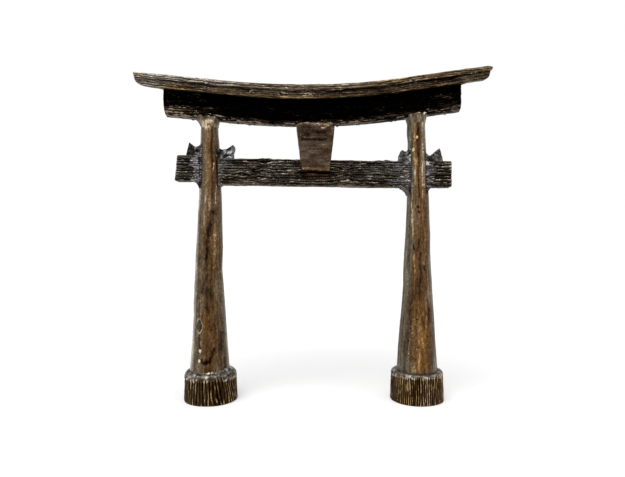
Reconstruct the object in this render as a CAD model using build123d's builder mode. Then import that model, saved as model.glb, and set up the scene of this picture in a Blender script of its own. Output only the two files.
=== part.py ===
from build123d import *
import os
from math import cos, radians, sin, tan

# A desk-size torii gate, in solid bronze: two tapered posts on drum feet carry a curved lintel
# and a two-plank top rail, with a tie beam between the posts, its two ends outside them, four
# horned wedges on the beam and a tapered tablet. A bead of fused metal closes every joint.
#
# Millimetres. +X runs along the rails to the right, -Y is the front, where the tablet hangs,
# and +Z is up. The origin is on the ground, midway between the tips of the top rail.

# Posts and feet
POST_SPACING = 64.15  # between the two post axes
POST_OFFSET = 0.15  # the pair of posts stands this far right of the rail's middle
POST_TOP_RADIUS = 2.45
POST_WAIST_RADIUS = 3.45  # a straight taper above the waist, and a hollow flare below it
POST_BASE_RADIUS = 5.95
POST_WAIST_Z = 54.0
POST_EMBED = 1.8  # drawn this far into the lintel, then cut off by it
FOOT_HEIGHT = 9.0
FOOT_RADIUS = 8.1
FOOT_TOP_RADIUS = 7.8
FOOT_SHOULDER = 0.7  # rounding of the drum's upper rim
FOOT_TOE = 0.25  # bevel of the drum's lower rim
LEFT_FOOT_SHIFT = 0.5  # the left drum sits this far right of its post's axis

# The curve that the lintel and both planks share: an arc with straight ends that leave it
# tangentially. Its lowest point is left of the middle, and its right end rises further.
CLEAR_HEIGHT = 84.7  # from the ground to the underside of the lintel at its lowest point
CURVE_RADIUS = 215.0  # of the top rail's upper surface
CURVE_LOW_X = -3.0
LEFT_RISE = 5.5  # degrees, slope of the straight left end
RIGHT_RISE = 7.9  # degrees, slope of the straight right end

# Lintel and top rail
LINTEL_LENGTH = 90.4
LINTEL_HEIGHT = 7.2
LINTEL_DEPTH = 5.6
LINTEL_ROUNDING = 0.6
LINTEL_SHIFT = -0.25  # the lintel's middle from the top rail's middle
RAIL_LENGTH = 108.0  # tip to tip
UPPER_PLANK_THICKNESS = 1.6
LOWER_PLANK_THICKNESS = 2.2  # along the middle
UPPER_PLANK_DEPTH = 9.0
LOWER_PLANK_DEPTH = 6.6
PLANK_END_SLANT = 0.4  # how far an end leans in over a plank's thickness
LOWER_PLANK_SETBACK = 0.3  # from the lower corner of the upper plank's end
LOWER_PLANK_TAPER = 18.0  # length over which the underside rises to the tip
TIP_THICKNESS = 0.4  # of the lower plank at its end
PLANK_BEVEL = 0.25

# Tie beam and its outer ends
TIE_HEIGHT = 7.7
TIE_DEPTH = 4.6
TIE_Z = 69.6  # middle of the beam, at X = 0
TIE_FALL = 0.9  # degrees, the beam falls to the right
TIE_ROUNDING = 0.4
LEFT_END_Z = 71.1
RIGHT_END_Z = 69.2
END_REACH = 9.9  # from the post's axis to the cut face

# Wedges, each as reach, horn height, horn lean, dip distance and dip height. Distances run
# outwards from the post's axis, and heights upwards from the beam.
WEDGE_DEPTH = 3.8
LEFT_OUTER_WEDGE = (6.6, 3.6, 0.7, 3.4, 1.8)
LEFT_INNER_WEDGE = (8.0, 3.6, 0.35, 4.7, 2.2)
RIGHT_INNER_WEDGE = (5.7, 2.8, 1.0, 4.0, 2.7)
RIGHT_OUTER_WEDGE = (8.0, 3.7, 1.3, 3.8, 1.8)
WEDGE_EMBED = 1.0  # drawn this far into the beam, then cut off at its surface

# Tablet
TABLET_X = 0.9
TABLET_TOP_WIDTH = 11.7
TABLET_BOTTOM_WIDTH = 8.3
TABLET_THICKNESS = 2.4
TABLET_LAP = 3.8  # how far it hangs down over the tie beam
TABLET_LEAN = 4.5  # degrees, its head leans back under the lintel
TABLET_BEVEL = 0.35

# Beads of fused metal
BEAD_EDGE = 0.15  # thickness where a bead runs out
NECK_BEAD_FLARE = 1.35  # how far it widens the post, under the lintel
NECK_BEAD_HEIGHT = 2.3
NECK_BEAD_HOLLOW = 3.7  # radius of its hollow side
FOOT_BEAD_HEIGHT = 1.5
FOOT_BEAD_MARGIN = 0.6  # drum's upper face left free outside the bead
BEAM_BEAD_REACH = 6.3  # from the post's axis
BEAM_BEAD_SIDE = 0.25  # growth at the post's axis, on the front and on the back
BEAM_BEAD_DROP = 1.5  # growth at the post's axis, above and below
TABLET_BEAD_GAP = 0.5  # between the tablet's head and the lintel
TABLET_BEAD_INSET = 0.6  # from the tablet's edges
TABLET_BEAD_EMBED = 0.8  # drawn this far into the tablet and the lintel, then cut off by them

SEAM_TURN = 10.0  # degrees from the back to the seam of a round face
LEFT, RIGHT = -1, 1
PARTS_FOLDER = "parts"


def post_x(side):
    """X of a post's axis."""
    return POST_OFFSET + side * POST_SPACING / 2


def foot_x(side):
    """X of a drum's axis."""
    return post_x(side) + (LEFT_FOOT_SHIFT if side == LEFT else 0)


def front_plane(x=0.0):
    """Upright plane facing the front, whose local X and Y are the world's X - x and Z."""
    return Plane(origin=(x, 0, 0), x_dir=(1, 0, 0), z_dir=(0, -1, 0))


def turning_plane(x):
    """Upright plane for a revolved profile: local X is the radius and local Y is the height.

    The radius points backwards, turned a little so that the seam of the round face lies clear
    of the beams and of the plane in which they are cut.
    """
    turn = radians(SEAM_TURN)
    return Plane(origin=(x, 0, 0), x_dir=(sin(turn), cos(turn), 0), z_dir=(cos(turn), -sin(turn), 0))


def upper_radius(side, z):
    """Radius of a post at a height above its waist."""
    head = post_head(side)
    share = (z - POST_WAIST_Z) / (head - POST_WAIST_Z)
    return POST_WAIST_RADIUS + share * (POST_TOP_RADIUS - POST_WAIST_RADIUS)


# The rails' shared curve. A line of it is named by its depth under the top rail's surface.
SEAM = UPPER_PLANK_THICKNESS
RAIL_DEPTH = SEAM + LOWER_PLANK_THICKNESS
LINTEL_UNDERSIDE = RAIL_DEPTH + LINTEL_HEIGHT
CURVE_CENTRE_Z = CLEAR_HEIGHT + LINTEL_UNDERSIDE + CURVE_RADIUS


def rise(side):
    """Angle at which the straight end on that side rises, in radians."""
    return radians(RIGHT_RISE if side == RIGHT else LEFT_RISE)


def curve_bend(side, depth):
    """Point at which the arc meets the straight end on that side."""
    angle = rise(side)
    radius = CURVE_RADIUS + depth
    return Vector(
        CURVE_LOW_X + side * radius * sin(angle), CURVE_CENTRE_Z - radius * cos(angle)
    )


def curve_z(x, depth):
    """Height of the curve at any X."""
    side = RIGHT if x > CURVE_LOW_X else LEFT
    bend = curve_bend(side, depth)
    if side * (x - bend.X) > 0:
        return bend.Y + side * (x - bend.X) * tan(rise(side))
    radius = CURVE_RADIUS + depth
    return CURVE_CENTRE_Z - (radius**2 - (x - CURVE_LOW_X) ** 2) ** 0.5


def curve_point(x, depth):
    """Point of the curve at any X."""
    return Vector(x, curve_z(x, depth))


def curve_line(start_x, end_x, depth):
    """Draws the curve from left to right in the current BuildLine."""
    left, right = curve_bend(LEFT, depth), curve_bend(RIGHT, depth)
    Line(curve_point(start_x, depth), left)
    ThreePointArc(left, curve_point(CURVE_LOW_X, depth), right)
    Line(right, curve_point(end_x, depth))


def post_head(side):
    """Height at which a post is drawn to end, inside the lintel, before the lintel cuts it."""
    return curve_z(post_x(side), LINTEL_UNDERSIDE) + POST_EMBED


def beam_middle(x):
    """Height of the sloping tie beam's middle line at any X."""
    return TIE_Z - x * tan(radians(TIE_FALL))


def lintel_block(depth):
    """The lintel's outline with sharp corners, as deep as asked."""
    ends = [LINTEL_SHIFT + side * LINTEL_LENGTH / 2 for side in (LEFT, RIGHT)]
    with BuildPart() as block:
        with BuildSketch(front_plane()):
            with BuildLine():
                curve_line(*ends, RAIL_DEPTH)
                curve_line(*ends, LINTEL_UNDERSIDE)
                for x in ends:
                    Line(curve_point(x, RAIL_DEPTH), curve_point(x, LINTEL_UNDERSIDE))
            make_face()
        extrude(amount=depth / 2, both=True)
    return block


def build_lintel():
    """The deep lower rail, which stands on the two posts."""
    with BuildPart() as lintel:
        add(lintel_block(LINTEL_DEPTH).part)
        lengthwise = lintel.faces().sort_by(Axis.X)
        for end_face in (lengthwise[0], lengthwise[-1]):
            corner = end_face.edges().filter_by(Axis.Y).sort_by(Axis.Z)[0]
            fillet(corner, LINTEL_ROUNDING)
    return lintel


def build_upper_plank():
    """The top rail's upper plank, with its ends cut on a slant to a point."""
    half = RAIL_LENGTH / 2
    foot = half - PLANK_END_SLANT
    with BuildPart() as plank:
        with BuildSketch(front_plane()):
            with BuildLine():
                curve_line(-half, half, 0)
                curve_line(-foot, foot, SEAM)
                for side in (LEFT, RIGHT):
                    Line(curve_point(side * half, 0), curve_point(side * foot, SEAM))
            make_face()
        extrude(amount=UPPER_PLANK_DEPTH / 2, both=True)
        chamfer(rims(plank), PLANK_BEVEL)
    return plank


def build_lower_plank():
    """The top rail's lower plank, whose underside rises towards its set-back ends."""
    head = RAIL_LENGTH / 2 - PLANK_END_SLANT - LOWER_PLANK_SETBACK
    tip = head - PLANK_END_SLANT * TIP_THICKNESS / LOWER_PLANK_THICKNESS
    belly = head - LOWER_PLANK_TAPER
    with BuildPart() as plank:
        with BuildSketch(front_plane()):
            with BuildLine():
                curve_line(-head, head, SEAM)
                curve_line(-belly, belly, RAIL_DEPTH)
                for side in (LEFT, RIGHT):
                    end = curve_point(side * tip, SEAM + TIP_THICKNESS)
                    Line(curve_point(side * head, SEAM), end)
                    Line(end, curve_point(side * belly, RAIL_DEPTH))
            make_face()
        extrude(amount=LOWER_PLANK_DEPTH / 2, both=True)
    return plank


def rims(plank):
    """The edges that run along a plank at its front and back, above and below."""
    sides = plank.faces().filter_by(Axis.Y)
    return sides.edges().filter_by(lambda edge: edge.length > UPPER_PLANK_DEPTH)


def build_foot(side):
    """A drum that stands on the ground."""
    x = foot_x(side)
    with BuildPart() as foot:
        with BuildSketch(turning_plane(x)) as profile:
            with BuildLine():
                Polyline(
                    (0, 0),
                    (FOOT_RADIUS - FOOT_TOE, 0),
                    (FOOT_RADIUS, FOOT_TOE),
                    (FOOT_TOP_RADIUS, FOOT_HEIGHT),
                    (0, FOOT_HEIGHT),
                    close=True,
                )
            make_face()
            rim = profile.vertices().group_by(Axis.Y)[-1].sort_by(Axis.X)[-1]
            fillet(rim, FOOT_SHOULDER)
        revolve(axis=Axis((x, 0, 0), (0, 0, 1)))
    return foot


def build_post(side, lintel):
    """A post that tapers up from a flared base, cut off at the underside of the lintel."""
    x = post_x(side)
    head = post_head(side)
    with BuildPart() as post:
        with BuildSketch(turning_plane(x)):
            with BuildLine():
                taper = Line((POST_TOP_RADIUS, head), (POST_WAIST_RADIUS, POST_WAIST_Z))
                TangentArc(taper @ 1, (POST_BASE_RADIUS, FOOT_HEIGHT), tangent=taper % 1)
                Polyline(
                    (POST_BASE_RADIUS, FOOT_HEIGHT),
                    (0, FOOT_HEIGHT),
                    (0, head),
                    (POST_TOP_RADIUS, head),
                )
            make_face()
        revolve(axis=Axis((x, 0, 0), (0, 0, 1)))
        add(lintel.part, mode=Mode.SUBTRACT)
    return post


def trim(blank, cutters):
    """A blank cut back to where its neighbours begin."""
    with BuildPart() as piece:
        add(blank.part)
        for cutter in cutters:
            add(cutter.part, mode=Mode.SUBTRACT)
    return piece


def tie_beam_blank():
    """The sloping beam, drawn from one post's axis to the other's."""
    left, right = post_x(LEFT), post_x(RIGHT)
    middle = (left + right) / 2
    slope = Plane(
        origin=(middle, 0, beam_middle(middle)),
        x_dir=(cos(radians(TIE_FALL)), 0, -sin(radians(TIE_FALL))),
        z_dir=(0, -1, 0),
    )
    with BuildPart() as beam:
        with BuildSketch(slope):
            Rectangle((right - left) / cos(radians(TIE_FALL)), TIE_HEIGHT)
        extrude(amount=TIE_DEPTH / 2, both=True)
        fillet(beam.edges().group_by(SortBy.LENGTH)[-1], TIE_ROUNDING)
    return beam


def beam_end_blank(side, z):
    """A short outer end of the tie beam, drawn from the post's axis."""
    with BuildPart() as end:
        with BuildSketch(front_plane(post_x(side) + side * END_REACH / 2)):
            with Locations((0, z)):
                Rectangle(END_REACH, TIE_HEIGHT)
        extrude(amount=TIE_DEPTH / 2, both=True)
        fillet(end.edges().filter_by(Axis.X), TIE_ROUNDING)
    return end


def wedge_blank(side, outwards, sizes, top):
    """A wedge with a horn at its outer end, drawn from the post's axis and into the beam."""
    reach, horn, lean, dip_at, dip = sizes
    with BuildPart() as wedge:
        with BuildSketch(front_plane(post_x(side))):
            with BuildLine():
                Polyline(
                    (0, top - WEDGE_EMBED),
                    (outwards * reach, top - WEDGE_EMBED),
                    (outwards * reach, top),
                    (outwards * (reach - lean), top + horn),
                    (outwards * dip_at, top + dip),
                    (0, top + dip),
                    close=True,
                )
            make_face()
        extrude(amount=WEDGE_DEPTH / 2, both=True)
    return wedge


def beam_bead_blank(side, outwards, z):
    """The fused sleeve round the beam beside a post, widest at the post's axis."""
    sizes = (
        (0, BEAM_BEAD_DROP, BEAM_BEAD_SIDE),
        (outwards * BEAM_BEAD_REACH, BEAD_EDGE, BEAD_EDGE),
    )
    with BuildPart() as bead:
        for distance, above, beside in sizes:
            origin = (post_x(side) + distance, 0, z)
            with BuildSketch(Plane(origin=origin, x_dir=(0, 1, 0), z_dir=(1, 0, 0))):
                Rectangle(TIE_DEPTH + 2 * beside, TIE_HEIGHT + 2 * above)
        loft()
    return bead


def build_neck_bead(side, post):
    """The fused ring that flares a post's head out under the lintel."""
    x = post_x(side)
    seat = curve_z(x, LINTEL_UNDERSIDE)
    rim = POST_TOP_RADIUS + NECK_BEAD_FLARE
    wall = seat - rim * tan(max(rise(LEFT), rise(RIGHT))) - BEAD_EDGE
    foot = seat - NECK_BEAD_HEIGHT
    edge = upper_radius(side, foot) + BEAD_EDGE
    with BuildPart() as bead:
        with BuildSketch(turning_plane(x)):
            with BuildLine():
                Line((0, foot), (edge, foot))
                RadiusArc((edge, foot), (rim, wall), NECK_BEAD_HOLLOW)
                Polyline((rim, wall), (rim, post_head(side)), (0, post_head(side)), (0, foot))
            make_face()
        revolve(axis=Axis((x, 0, 0), (0, 0, 1)))
        add(post.part, mode=Mode.SUBTRACT)
        add(lintel_block(2 * rim + LINTEL_DEPTH).part, mode=Mode.SUBTRACT)
    return bead


def build_foot_bead(side, post):
    """The fused ring round a post's base, on the drum."""
    x = foot_x(side)
    crown = FOOT_HEIGHT + FOOT_BEAD_HEIGHT
    rim = FOOT_TOP_RADIUS - FOOT_BEAD_MARGIN
    with BuildPart() as bead:
        with BuildSketch(turning_plane(x)):
            with BuildLine():
                Polyline(
                    (0, FOOT_HEIGHT),
                    (rim, FOOT_HEIGHT),
                    (rim, FOOT_HEIGHT + BEAD_EDGE),
                    (POST_BASE_RADIUS + BEAD_EDGE, crown),
                    (0, crown),
                    close=True,
                )
            make_face()
        revolve(axis=Axis((x, 0, 0), (0, 0, 1)))
        add(post.part, mode=Mode.SUBTRACT)
    return bead


def tablet_head():
    """Height of the tablet's upper edge."""
    return curve_z(TABLET_X, LINTEL_UNDERSIDE) - TABLET_BEAD_GAP


def tablet_foot():
    """Height of the tablet's lower edge."""
    return beam_middle(TABLET_X) + TIE_HEIGHT / 2 - TABLET_LAP


def build_tablet(tie_beam):
    """A tapered slab that hangs in front of the tie beam and leans back at its head."""
    lean = radians(TABLET_LEAN)
    height = (tablet_head() - tablet_foot()) / cos(lean)
    back = Plane(
        origin=(TABLET_X, -TIE_DEPTH / 2, tablet_foot()),
        x_dir=(1, 0, 0),
        z_dir=(0, -cos(lean), sin(lean)),
    )
    with BuildPart() as tablet:
        with BuildSketch(back):
            with BuildLine():
                Polyline(
                    (-TABLET_BOTTOM_WIDTH / 2, 0),
                    (TABLET_BOTTOM_WIDTH / 2, 0),
                    (TABLET_TOP_WIDTH / 2, height),
                    (-TABLET_TOP_WIDTH / 2, height),
                    close=True,
                )
            make_face()
        extrude(amount=TABLET_THICKNESS)
        front = tablet.faces().sort_by(Axis.Y)[0]
        chamfer(front.edges(), TABLET_BEVEL)
        add(tie_beam.part, mode=Mode.SUBTRACT)
    return tablet


def build_tablet_bead(tablet, lintel):
    """The fused strip between the tablet's head and the lintel."""
    lean = radians(TABLET_LEAN)
    width = TABLET_TOP_WIDTH - 2 * TABLET_BEAD_INSET
    depth = TABLET_THICKNESS - TABLET_BEVEL - 2 * TABLET_BEAD_INSET
    rise = tablet_head() - tablet_foot()
    back_y = -TIE_DEPTH / 2 + rise * tan(lean) - TABLET_BEAD_INSET
    seat = Plane(origin=(TABLET_X, back_y - depth / 2, tablet_head() - TABLET_BEAD_EMBED))
    with BuildPart() as bead:
        with BuildSketch(seat):
            Rectangle(width, depth)
        extrude(amount=TABLET_BEAD_GAP + 2 * TABLET_BEAD_EMBED)
        add(tablet.part, mode=Mode.SUBTRACT)
        add(lintel.part, mode=Mode.SUBTRACT)
    return bead


def build_crossings(posts, beams):
    """The wedges and beads on both sides of each post, cut at the post and at the beam."""
    crossings = (
        ("left_outer", LEFT, LEFT, LEFT_OUTER_WEDGE, "tie_beam_left_end", LEFT_END_Z),
        ("left_inner", LEFT, RIGHT, LEFT_INNER_WEDGE, "tie_beam", None),
        ("right_inner", RIGHT, LEFT, RIGHT_INNER_WEDGE, "tie_beam", None),
        ("right_outer", RIGHT, RIGHT, RIGHT_OUTER_WEDGE, "tie_beam_right_end", RIGHT_END_Z),
    )
    pieces = {}
    for name, side, outwards, sizes, beam_name, end_z in crossings:
        beside_post = post_x(side) + outwards * BEAM_BEAD_REACH / 2
        z = beam_middle(beside_post) if end_z is None else end_z
        beam, post = beams[beam_name], posts[side]
        wedge = wedge_blank(side, outwards, sizes, z + TIE_HEIGHT / 2)
        bead = beam_bead_blank(side, outwards, z)
        pieces[f"{name}_wedge"] = trim(wedge, (beam, post))
        pieces[f"{name}_bead"] = trim(bead, (beam, wedge, post))
    return pieces


def build_all():
    """Every piece of the gate by its name."""
    lintel = build_lintel()
    posts = {side: build_post(side, lintel) for side in (LEFT, RIGHT)}
    beams = {
        "tie_beam": tie_beam_blank(),
        "tie_beam_left_end": beam_end_blank(LEFT, LEFT_END_Z),
        "tie_beam_right_end": beam_end_blank(RIGHT, RIGHT_END_Z),
    }
    tablet = build_tablet(beams["tie_beam"])
    pieces = {
        "top_rail_upper_plank": build_upper_plank(),
        "top_rail_lower_plank": build_lower_plank(),
        "lintel": lintel,
        "tablet": tablet,
        "tablet_bead": build_tablet_bead(tablet, lintel),
    }
    for name, beam in beams.items():
        pieces[name] = trim(beam, posts.values())
    for name, side in (("left", LEFT), ("right", RIGHT)):
        pieces[f"{name}_post"] = posts[side]
        pieces[f"{name}_foot"] = build_foot(side)
        pieces[f"{name}_foot_bead"] = build_foot_bead(side, posts[side])
        pieces[f"{name}_neck_bead"] = build_neck_bead(side, posts[side])
    pieces.update(build_crossings(posts, beams))
    return pieces


os.makedirs(PARTS_FOLDER, exist_ok=True)
for name, piece in build_all().items():
    piece.part.label = name
    export_step(piece.part, f"{PARTS_FOLDER}/{name}.step")
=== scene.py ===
import math

import bpy
import numpy as np
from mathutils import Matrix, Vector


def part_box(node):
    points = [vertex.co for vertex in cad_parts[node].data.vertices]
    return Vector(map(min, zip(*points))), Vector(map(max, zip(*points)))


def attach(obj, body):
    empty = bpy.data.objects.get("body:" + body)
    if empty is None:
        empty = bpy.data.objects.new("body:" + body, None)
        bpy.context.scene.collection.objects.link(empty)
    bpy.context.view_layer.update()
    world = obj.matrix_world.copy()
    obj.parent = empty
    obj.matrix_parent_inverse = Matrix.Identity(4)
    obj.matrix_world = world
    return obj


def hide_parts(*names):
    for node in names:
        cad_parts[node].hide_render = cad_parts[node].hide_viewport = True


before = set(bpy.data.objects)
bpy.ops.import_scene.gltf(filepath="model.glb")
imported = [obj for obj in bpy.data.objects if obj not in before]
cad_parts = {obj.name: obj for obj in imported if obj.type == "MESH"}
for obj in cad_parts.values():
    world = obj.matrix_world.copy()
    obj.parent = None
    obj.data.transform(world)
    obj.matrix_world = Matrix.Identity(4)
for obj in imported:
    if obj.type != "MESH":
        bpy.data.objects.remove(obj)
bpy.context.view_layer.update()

# The looks of a small torii gate in cast bronze. Every piece of the CAD is replaced by a mesh in
# its place, with the relief of the casting worked into it: wood grain on the rails and beams,
# bark on the feet, hand-worked posts and rough beads of fused metal.
#
# The meshes are worked out in millimetres, in the CAD's frame: +X runs along the rails to the
# right, -Y is the front and +Z is up. They are written in metres. A piece's relief and finish are
# sums of named masks from 0 to 1: the number beside a mask is its weight, in millimetres for the
# relief and in shares of the level for the finish, and the numbers inside smooth, between and hump
# are where it starts and ends. The weights, places and colours were set by looking at the photo
# and by comparing the renders' edges and mean colours with the photo's.
MM = 0.001
BODY = "root"
LEFT, RIGHT = -1, 1
SIDE_NAMES = {LEFT: "left", RIGHT: "right"}
SEED = 11
EDGE_WEAR = 0.12  # how much brighter the finish is on edges, and darker in corners
EDGE_HEIGHT = 0.05  # how far an edge stands out when it has all of that


def cad_box(node):
    """Lowest and highest corner of a CAD node, in millimetres."""
    low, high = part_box(node)
    return np.array(low) / MM, np.array(high) / MM


# ---------------------------------------------------------------- the CAD's sizes, in millimetres

# The rails' shared curve: an arc with straight ends. A line of it is named by its depth under the
# top rail's upper surface.
CURVE_RADIUS = 215.0
CURVE_LOW_X = -3.0
RISE = {LEFT: math.radians(5.5), RIGHT: math.radians(7.9)}
PLANK_SEAM = 1.6  # depth of the joint between the two planks
RAIL_BOTTOM = 3.8
LINTEL_BOTTOM = 11.0
CURVE_CENTRE_Z = cad_box("lintel")[0][2] + LINTEL_BOTTOM + CURVE_RADIUS

POST_TOP_RADIUS = 2.45
POST_WAIST_RADIUS = 3.45
POST_WAIST_Z = 54.0


def curve_z(x, depth):
    """Height of the rails' curve."""
    rise = np.where(x > CURVE_LOW_X, RISE[RIGHT], RISE[LEFT])
    radius = CURVE_RADIUS + depth
    out = np.abs(x - CURVE_LOW_X)
    bend = radius * np.sin(rise)
    arc = CURVE_CENTRE_Z - np.sqrt(radius**2 - np.minimum(out, bend) ** 2)
    return arc + np.maximum(out - bend, 0) * np.tan(rise)


# ---------------------------------------------------------------- noise

def lattice(cells, seed):
    """A fixed random value from -1 to 1 for each whole-numbered cell."""
    x, y, z = np.moveaxis(cells.astype(np.int64), -1, 0)
    mixed = (x * 374761393 + y * 668265263 + z * 1274126177 + seed * 974711) & 0xFFFFFFFF
    mixed = ((mixed ^ (mixed >> 13)) * 1103515245) & 0xFFFFFFFF
    return ((mixed >> 8) & 0xFFFF) / 32767.5 - 1


def noise(points, grain, seed):
    """Smooth random values from -1 to 1. The grain is its size, one number or one an axis."""
    scaled = points / np.array(grain)
    cell = np.floor(scaled)
    part = scaled - cell
    part = part * part * (3 - 2 * part)
    total = np.zeros(points.shape[:-1])
    for corner in np.ndindex(2, 2, 2):
        weight = np.prod(np.where(corner, part, 1 - part), axis=-1)
        total += weight * lattice(cell + corner, seed + SEED)
    return total


def cloud(points, grain, seed, octaves=3):
    """Noise with finer and finer grain added to it."""
    grain = np.array(grain, float)
    return sum(noise(points, grain / 2**k, seed + 31 * k) / 2**k for k in range(octaves))


def smooth(value, low, high):
    """0 below low, 1 above high and an S-curve between them."""
    part = np.clip((value - low) / (high - low), 0, 1)
    return part * part * (3 - 2 * part)


def between(value, low, full, fading, high):
    """0 below low and above high, 1 from full to fading, and S-curves between them."""
    return smooth(value, low, full) * smooth(-value, -high, -fading)


def hump(distance, width):
    """1 in the middle, falling to 0 at about twice the width."""
    return np.exp(-((distance / width) ** 2))


# ---------------------------------------------------------------- closed tubes of rings

def outward(rings):
    """Unit normals of a tube of rings."""
    along = np.gradient(rings, axis=0)
    around = np.roll(rings, -1, axis=1) - np.roll(rings, 1, axis=1)
    normals = np.cross(around, along)
    normals /= np.maximum(np.linalg.norm(normals, axis=2, keepdims=True), 1e-9)
    return normals


def standing_out(rings, reach):
    """How far each point stands out from those a reach away: ridges above 0, grooves below."""
    padded = np.concatenate([rings[:1]] * reach + [rings] + [rings[-1:]] * reach)
    along = padded[: -2 * reach] + padded[2 * reach :]
    around = np.roll(rings, reach, axis=1) + np.roll(rings, -reach, axis=1)
    return np.sum((rings - (along + around) / 4) * outward(rings), axis=2)


def raised(rings, height):
    """The tube with its surface moved outwards by a height at each point."""
    return rings + height[..., None] * outward(rings)


def wobble(rings, amount, grain, seed):
    """The tube with its points drawn aside a little, as in a thing shaped by hand."""
    aside = [cloud(rings, grain, seed + 100 * axis, 2) for axis in range(3)]
    return rings + amount * np.stack(aside, axis=-1)


def add_piece(node, rings, material, level, cool, gold):
    """Makes the tube a closed mesh piece that stands for a CAD node. Its level is how bright
    its finish is at each point, cool how grey and gold how bare."""
    count, around = rings.shape[:2]
    index = np.arange(count * around).reshape(count, around)
    following = np.roll(index, -1, axis=1)
    quads = np.stack([index[:-1], following[:-1], following[1:], index[1:]], axis=-1)
    first_pole, last_pole = count * around, count * around + 1
    faces = quads.reshape(-1, 4).tolist()
    faces += [(following[0, k], index[0, k], first_pole) for k in range(around)]
    faces += [(index[-1, k], following[-1, k], last_pole) for k in range(around)]
    poles = [rings[0].mean(axis=0), rings[-1].mean(axis=0)]
    points = np.concatenate([rings.reshape(-1, 3), poles]) * MM

    mesh = bpy.data.meshes.new(f"{node}_cast")
    mesh.from_pydata(points, [], faces)
    mesh.polygons.foreach_set("use_smooth", np.ones(len(mesh.polygons), bool))
    worn = np.clip(standing_out(rings, 2) / EDGE_HEIGHT, -1, 1)
    finish = {"level": level + EDGE_WEAR * worn, "cool": cool, "gold": gold}
    for name, values in finish.items():
        values = np.broadcast_to(values, (count, around))
        at_poles = [values[0].mean(), values[-1].mean()]
        layer = mesh.attributes.new(name, "FLOAT", "POINT")
        layer.data.foreach_set("value", np.append(values.ravel(), at_poles).astype(np.float32))
    mesh.materials.append(material)
    mesh.update()
    piece = bpy.data.objects.new(f"{node}_cast", mesh)
    bpy.context.scene.collection.objects.link(piece)
    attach(piece, BODY)
    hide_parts(node)


def rounded_outline(half_width, half_height, rounding, pitch, coarse):
    """Points of a rounded rectangle, as shares of its half sizes, with their distance along it
    and its whole length. It starts at a corner and turns anticlockwise. The points lie a pitch
    apart, and coarse times as far on the top and the bottom."""
    quarter = np.linspace(0, math.pi / 2, 9)
    path = []
    for turn, (across, up) in enumerate(((1, 1), (-1, 1), (-1, -1), (1, -1))):
        angle = quarter + turn * math.pi / 2
        centre = across * (half_width - rounding), up * (half_height - rounding)
        path.append(np.stack([np.cos(angle), np.sin(angle)], axis=1) * rounding + centre)
    path = np.concatenate(path + [path[0][:1]])
    steps = np.diff(path, axis=0)
    lengths = np.linalg.norm(steps, axis=1)
    level_share = np.abs(steps[:, 0]) / lengths
    run = np.append(0, np.cumsum(lengths))
    points = np.append(0, np.cumsum(lengths / (pitch * (1 + (coarse - 1) * level_share))))
    count = int(points[-1])
    at = np.interp(np.arange(count) * points[-1] / count, points, run)
    outline = np.stack([np.interp(at, run, path[:, k]) for k in (0, 1)], axis=1)
    return outline / (half_width, half_height), at, run[-1]


def stations(length, step, rounding, half_size, cap_rings):
    """The rings of a bar with rounded ends, closed by some rings on each end face: each one's
    distance from the start, and its share of the full section."""
    flat = 1 - rounding / half_size
    turn = np.linspace(0, math.pi / 2, 5)[1:]
    cap_at = np.append(np.zeros(cap_rings), rounding * (1 - np.cos(turn)))
    cap_share = np.append(np.linspace(0.05, flat, cap_rings), flat + (1 - flat) * np.sin(turn))
    body = np.linspace(rounding, length - rounding, int(length / step))[1:-1]
    at = np.concatenate([cap_at, body, length - cap_at[::-1]])
    share = np.concatenate([cap_share, np.ones(len(body)), cap_share[::-1]])
    return at[:, None], share[:, None]


class Bar:
    """A long piece with a rounded rectangular section, before its shape is worked out.

    at is each ring's distance from the start, across and up are each point's place in the
    section from -1 to 1, turn is its distance around the section, and cap is 1 on the two
    end faces."""

    CAP_RINGS = 12

    def __init__(
        self, length, half_width, half_height, rounding, end_rounding, step, pitch, coarse=1.6
    ):
        outline, turn, self.girth = rounded_outline(
            half_width, half_height, rounding, pitch, coarse
        )
        half_size = min(half_width, half_height)
        self.length = length
        self.at, self.share = stations(length, step, end_rounding, half_size, self.CAP_RINGS)
        self.across = self.share * outline[:, 0]
        self.up = self.share * outline[:, 1]
        self.turn = np.broadcast_to(turn, self.across.shape)
        self.cap = 1 - smooth(self.share, 0.8, 0.99) + 0 * self.turn


# ---------------------------------------------------------------- relief

def furrows(phase, sharpness):
    """1 in the middle of each groove and 0 on the ridges. A whole number is a groove."""
    return (1 - np.abs(np.sin(math.pi * phase))) ** sharpness


def crests(phase, thinness):
    """1 on the top of each ridge between the grooves, falling off quickly."""
    return np.abs(np.sin(math.pi * phase)) ** thinness


def bend_round(knots, x, z):
    """How far lines are pushed up or down where they pass round knots. Each knot is its X and
    Z, its half length and half height, and its strength in lines."""
    push = 0
    for knot_x, knot_z, long, high, strength in knots:
        off = (z - knot_z) / high
        push = push - strength * hump(x - knot_x, long) * off * np.exp(-off * off / 2)
    return push


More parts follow.
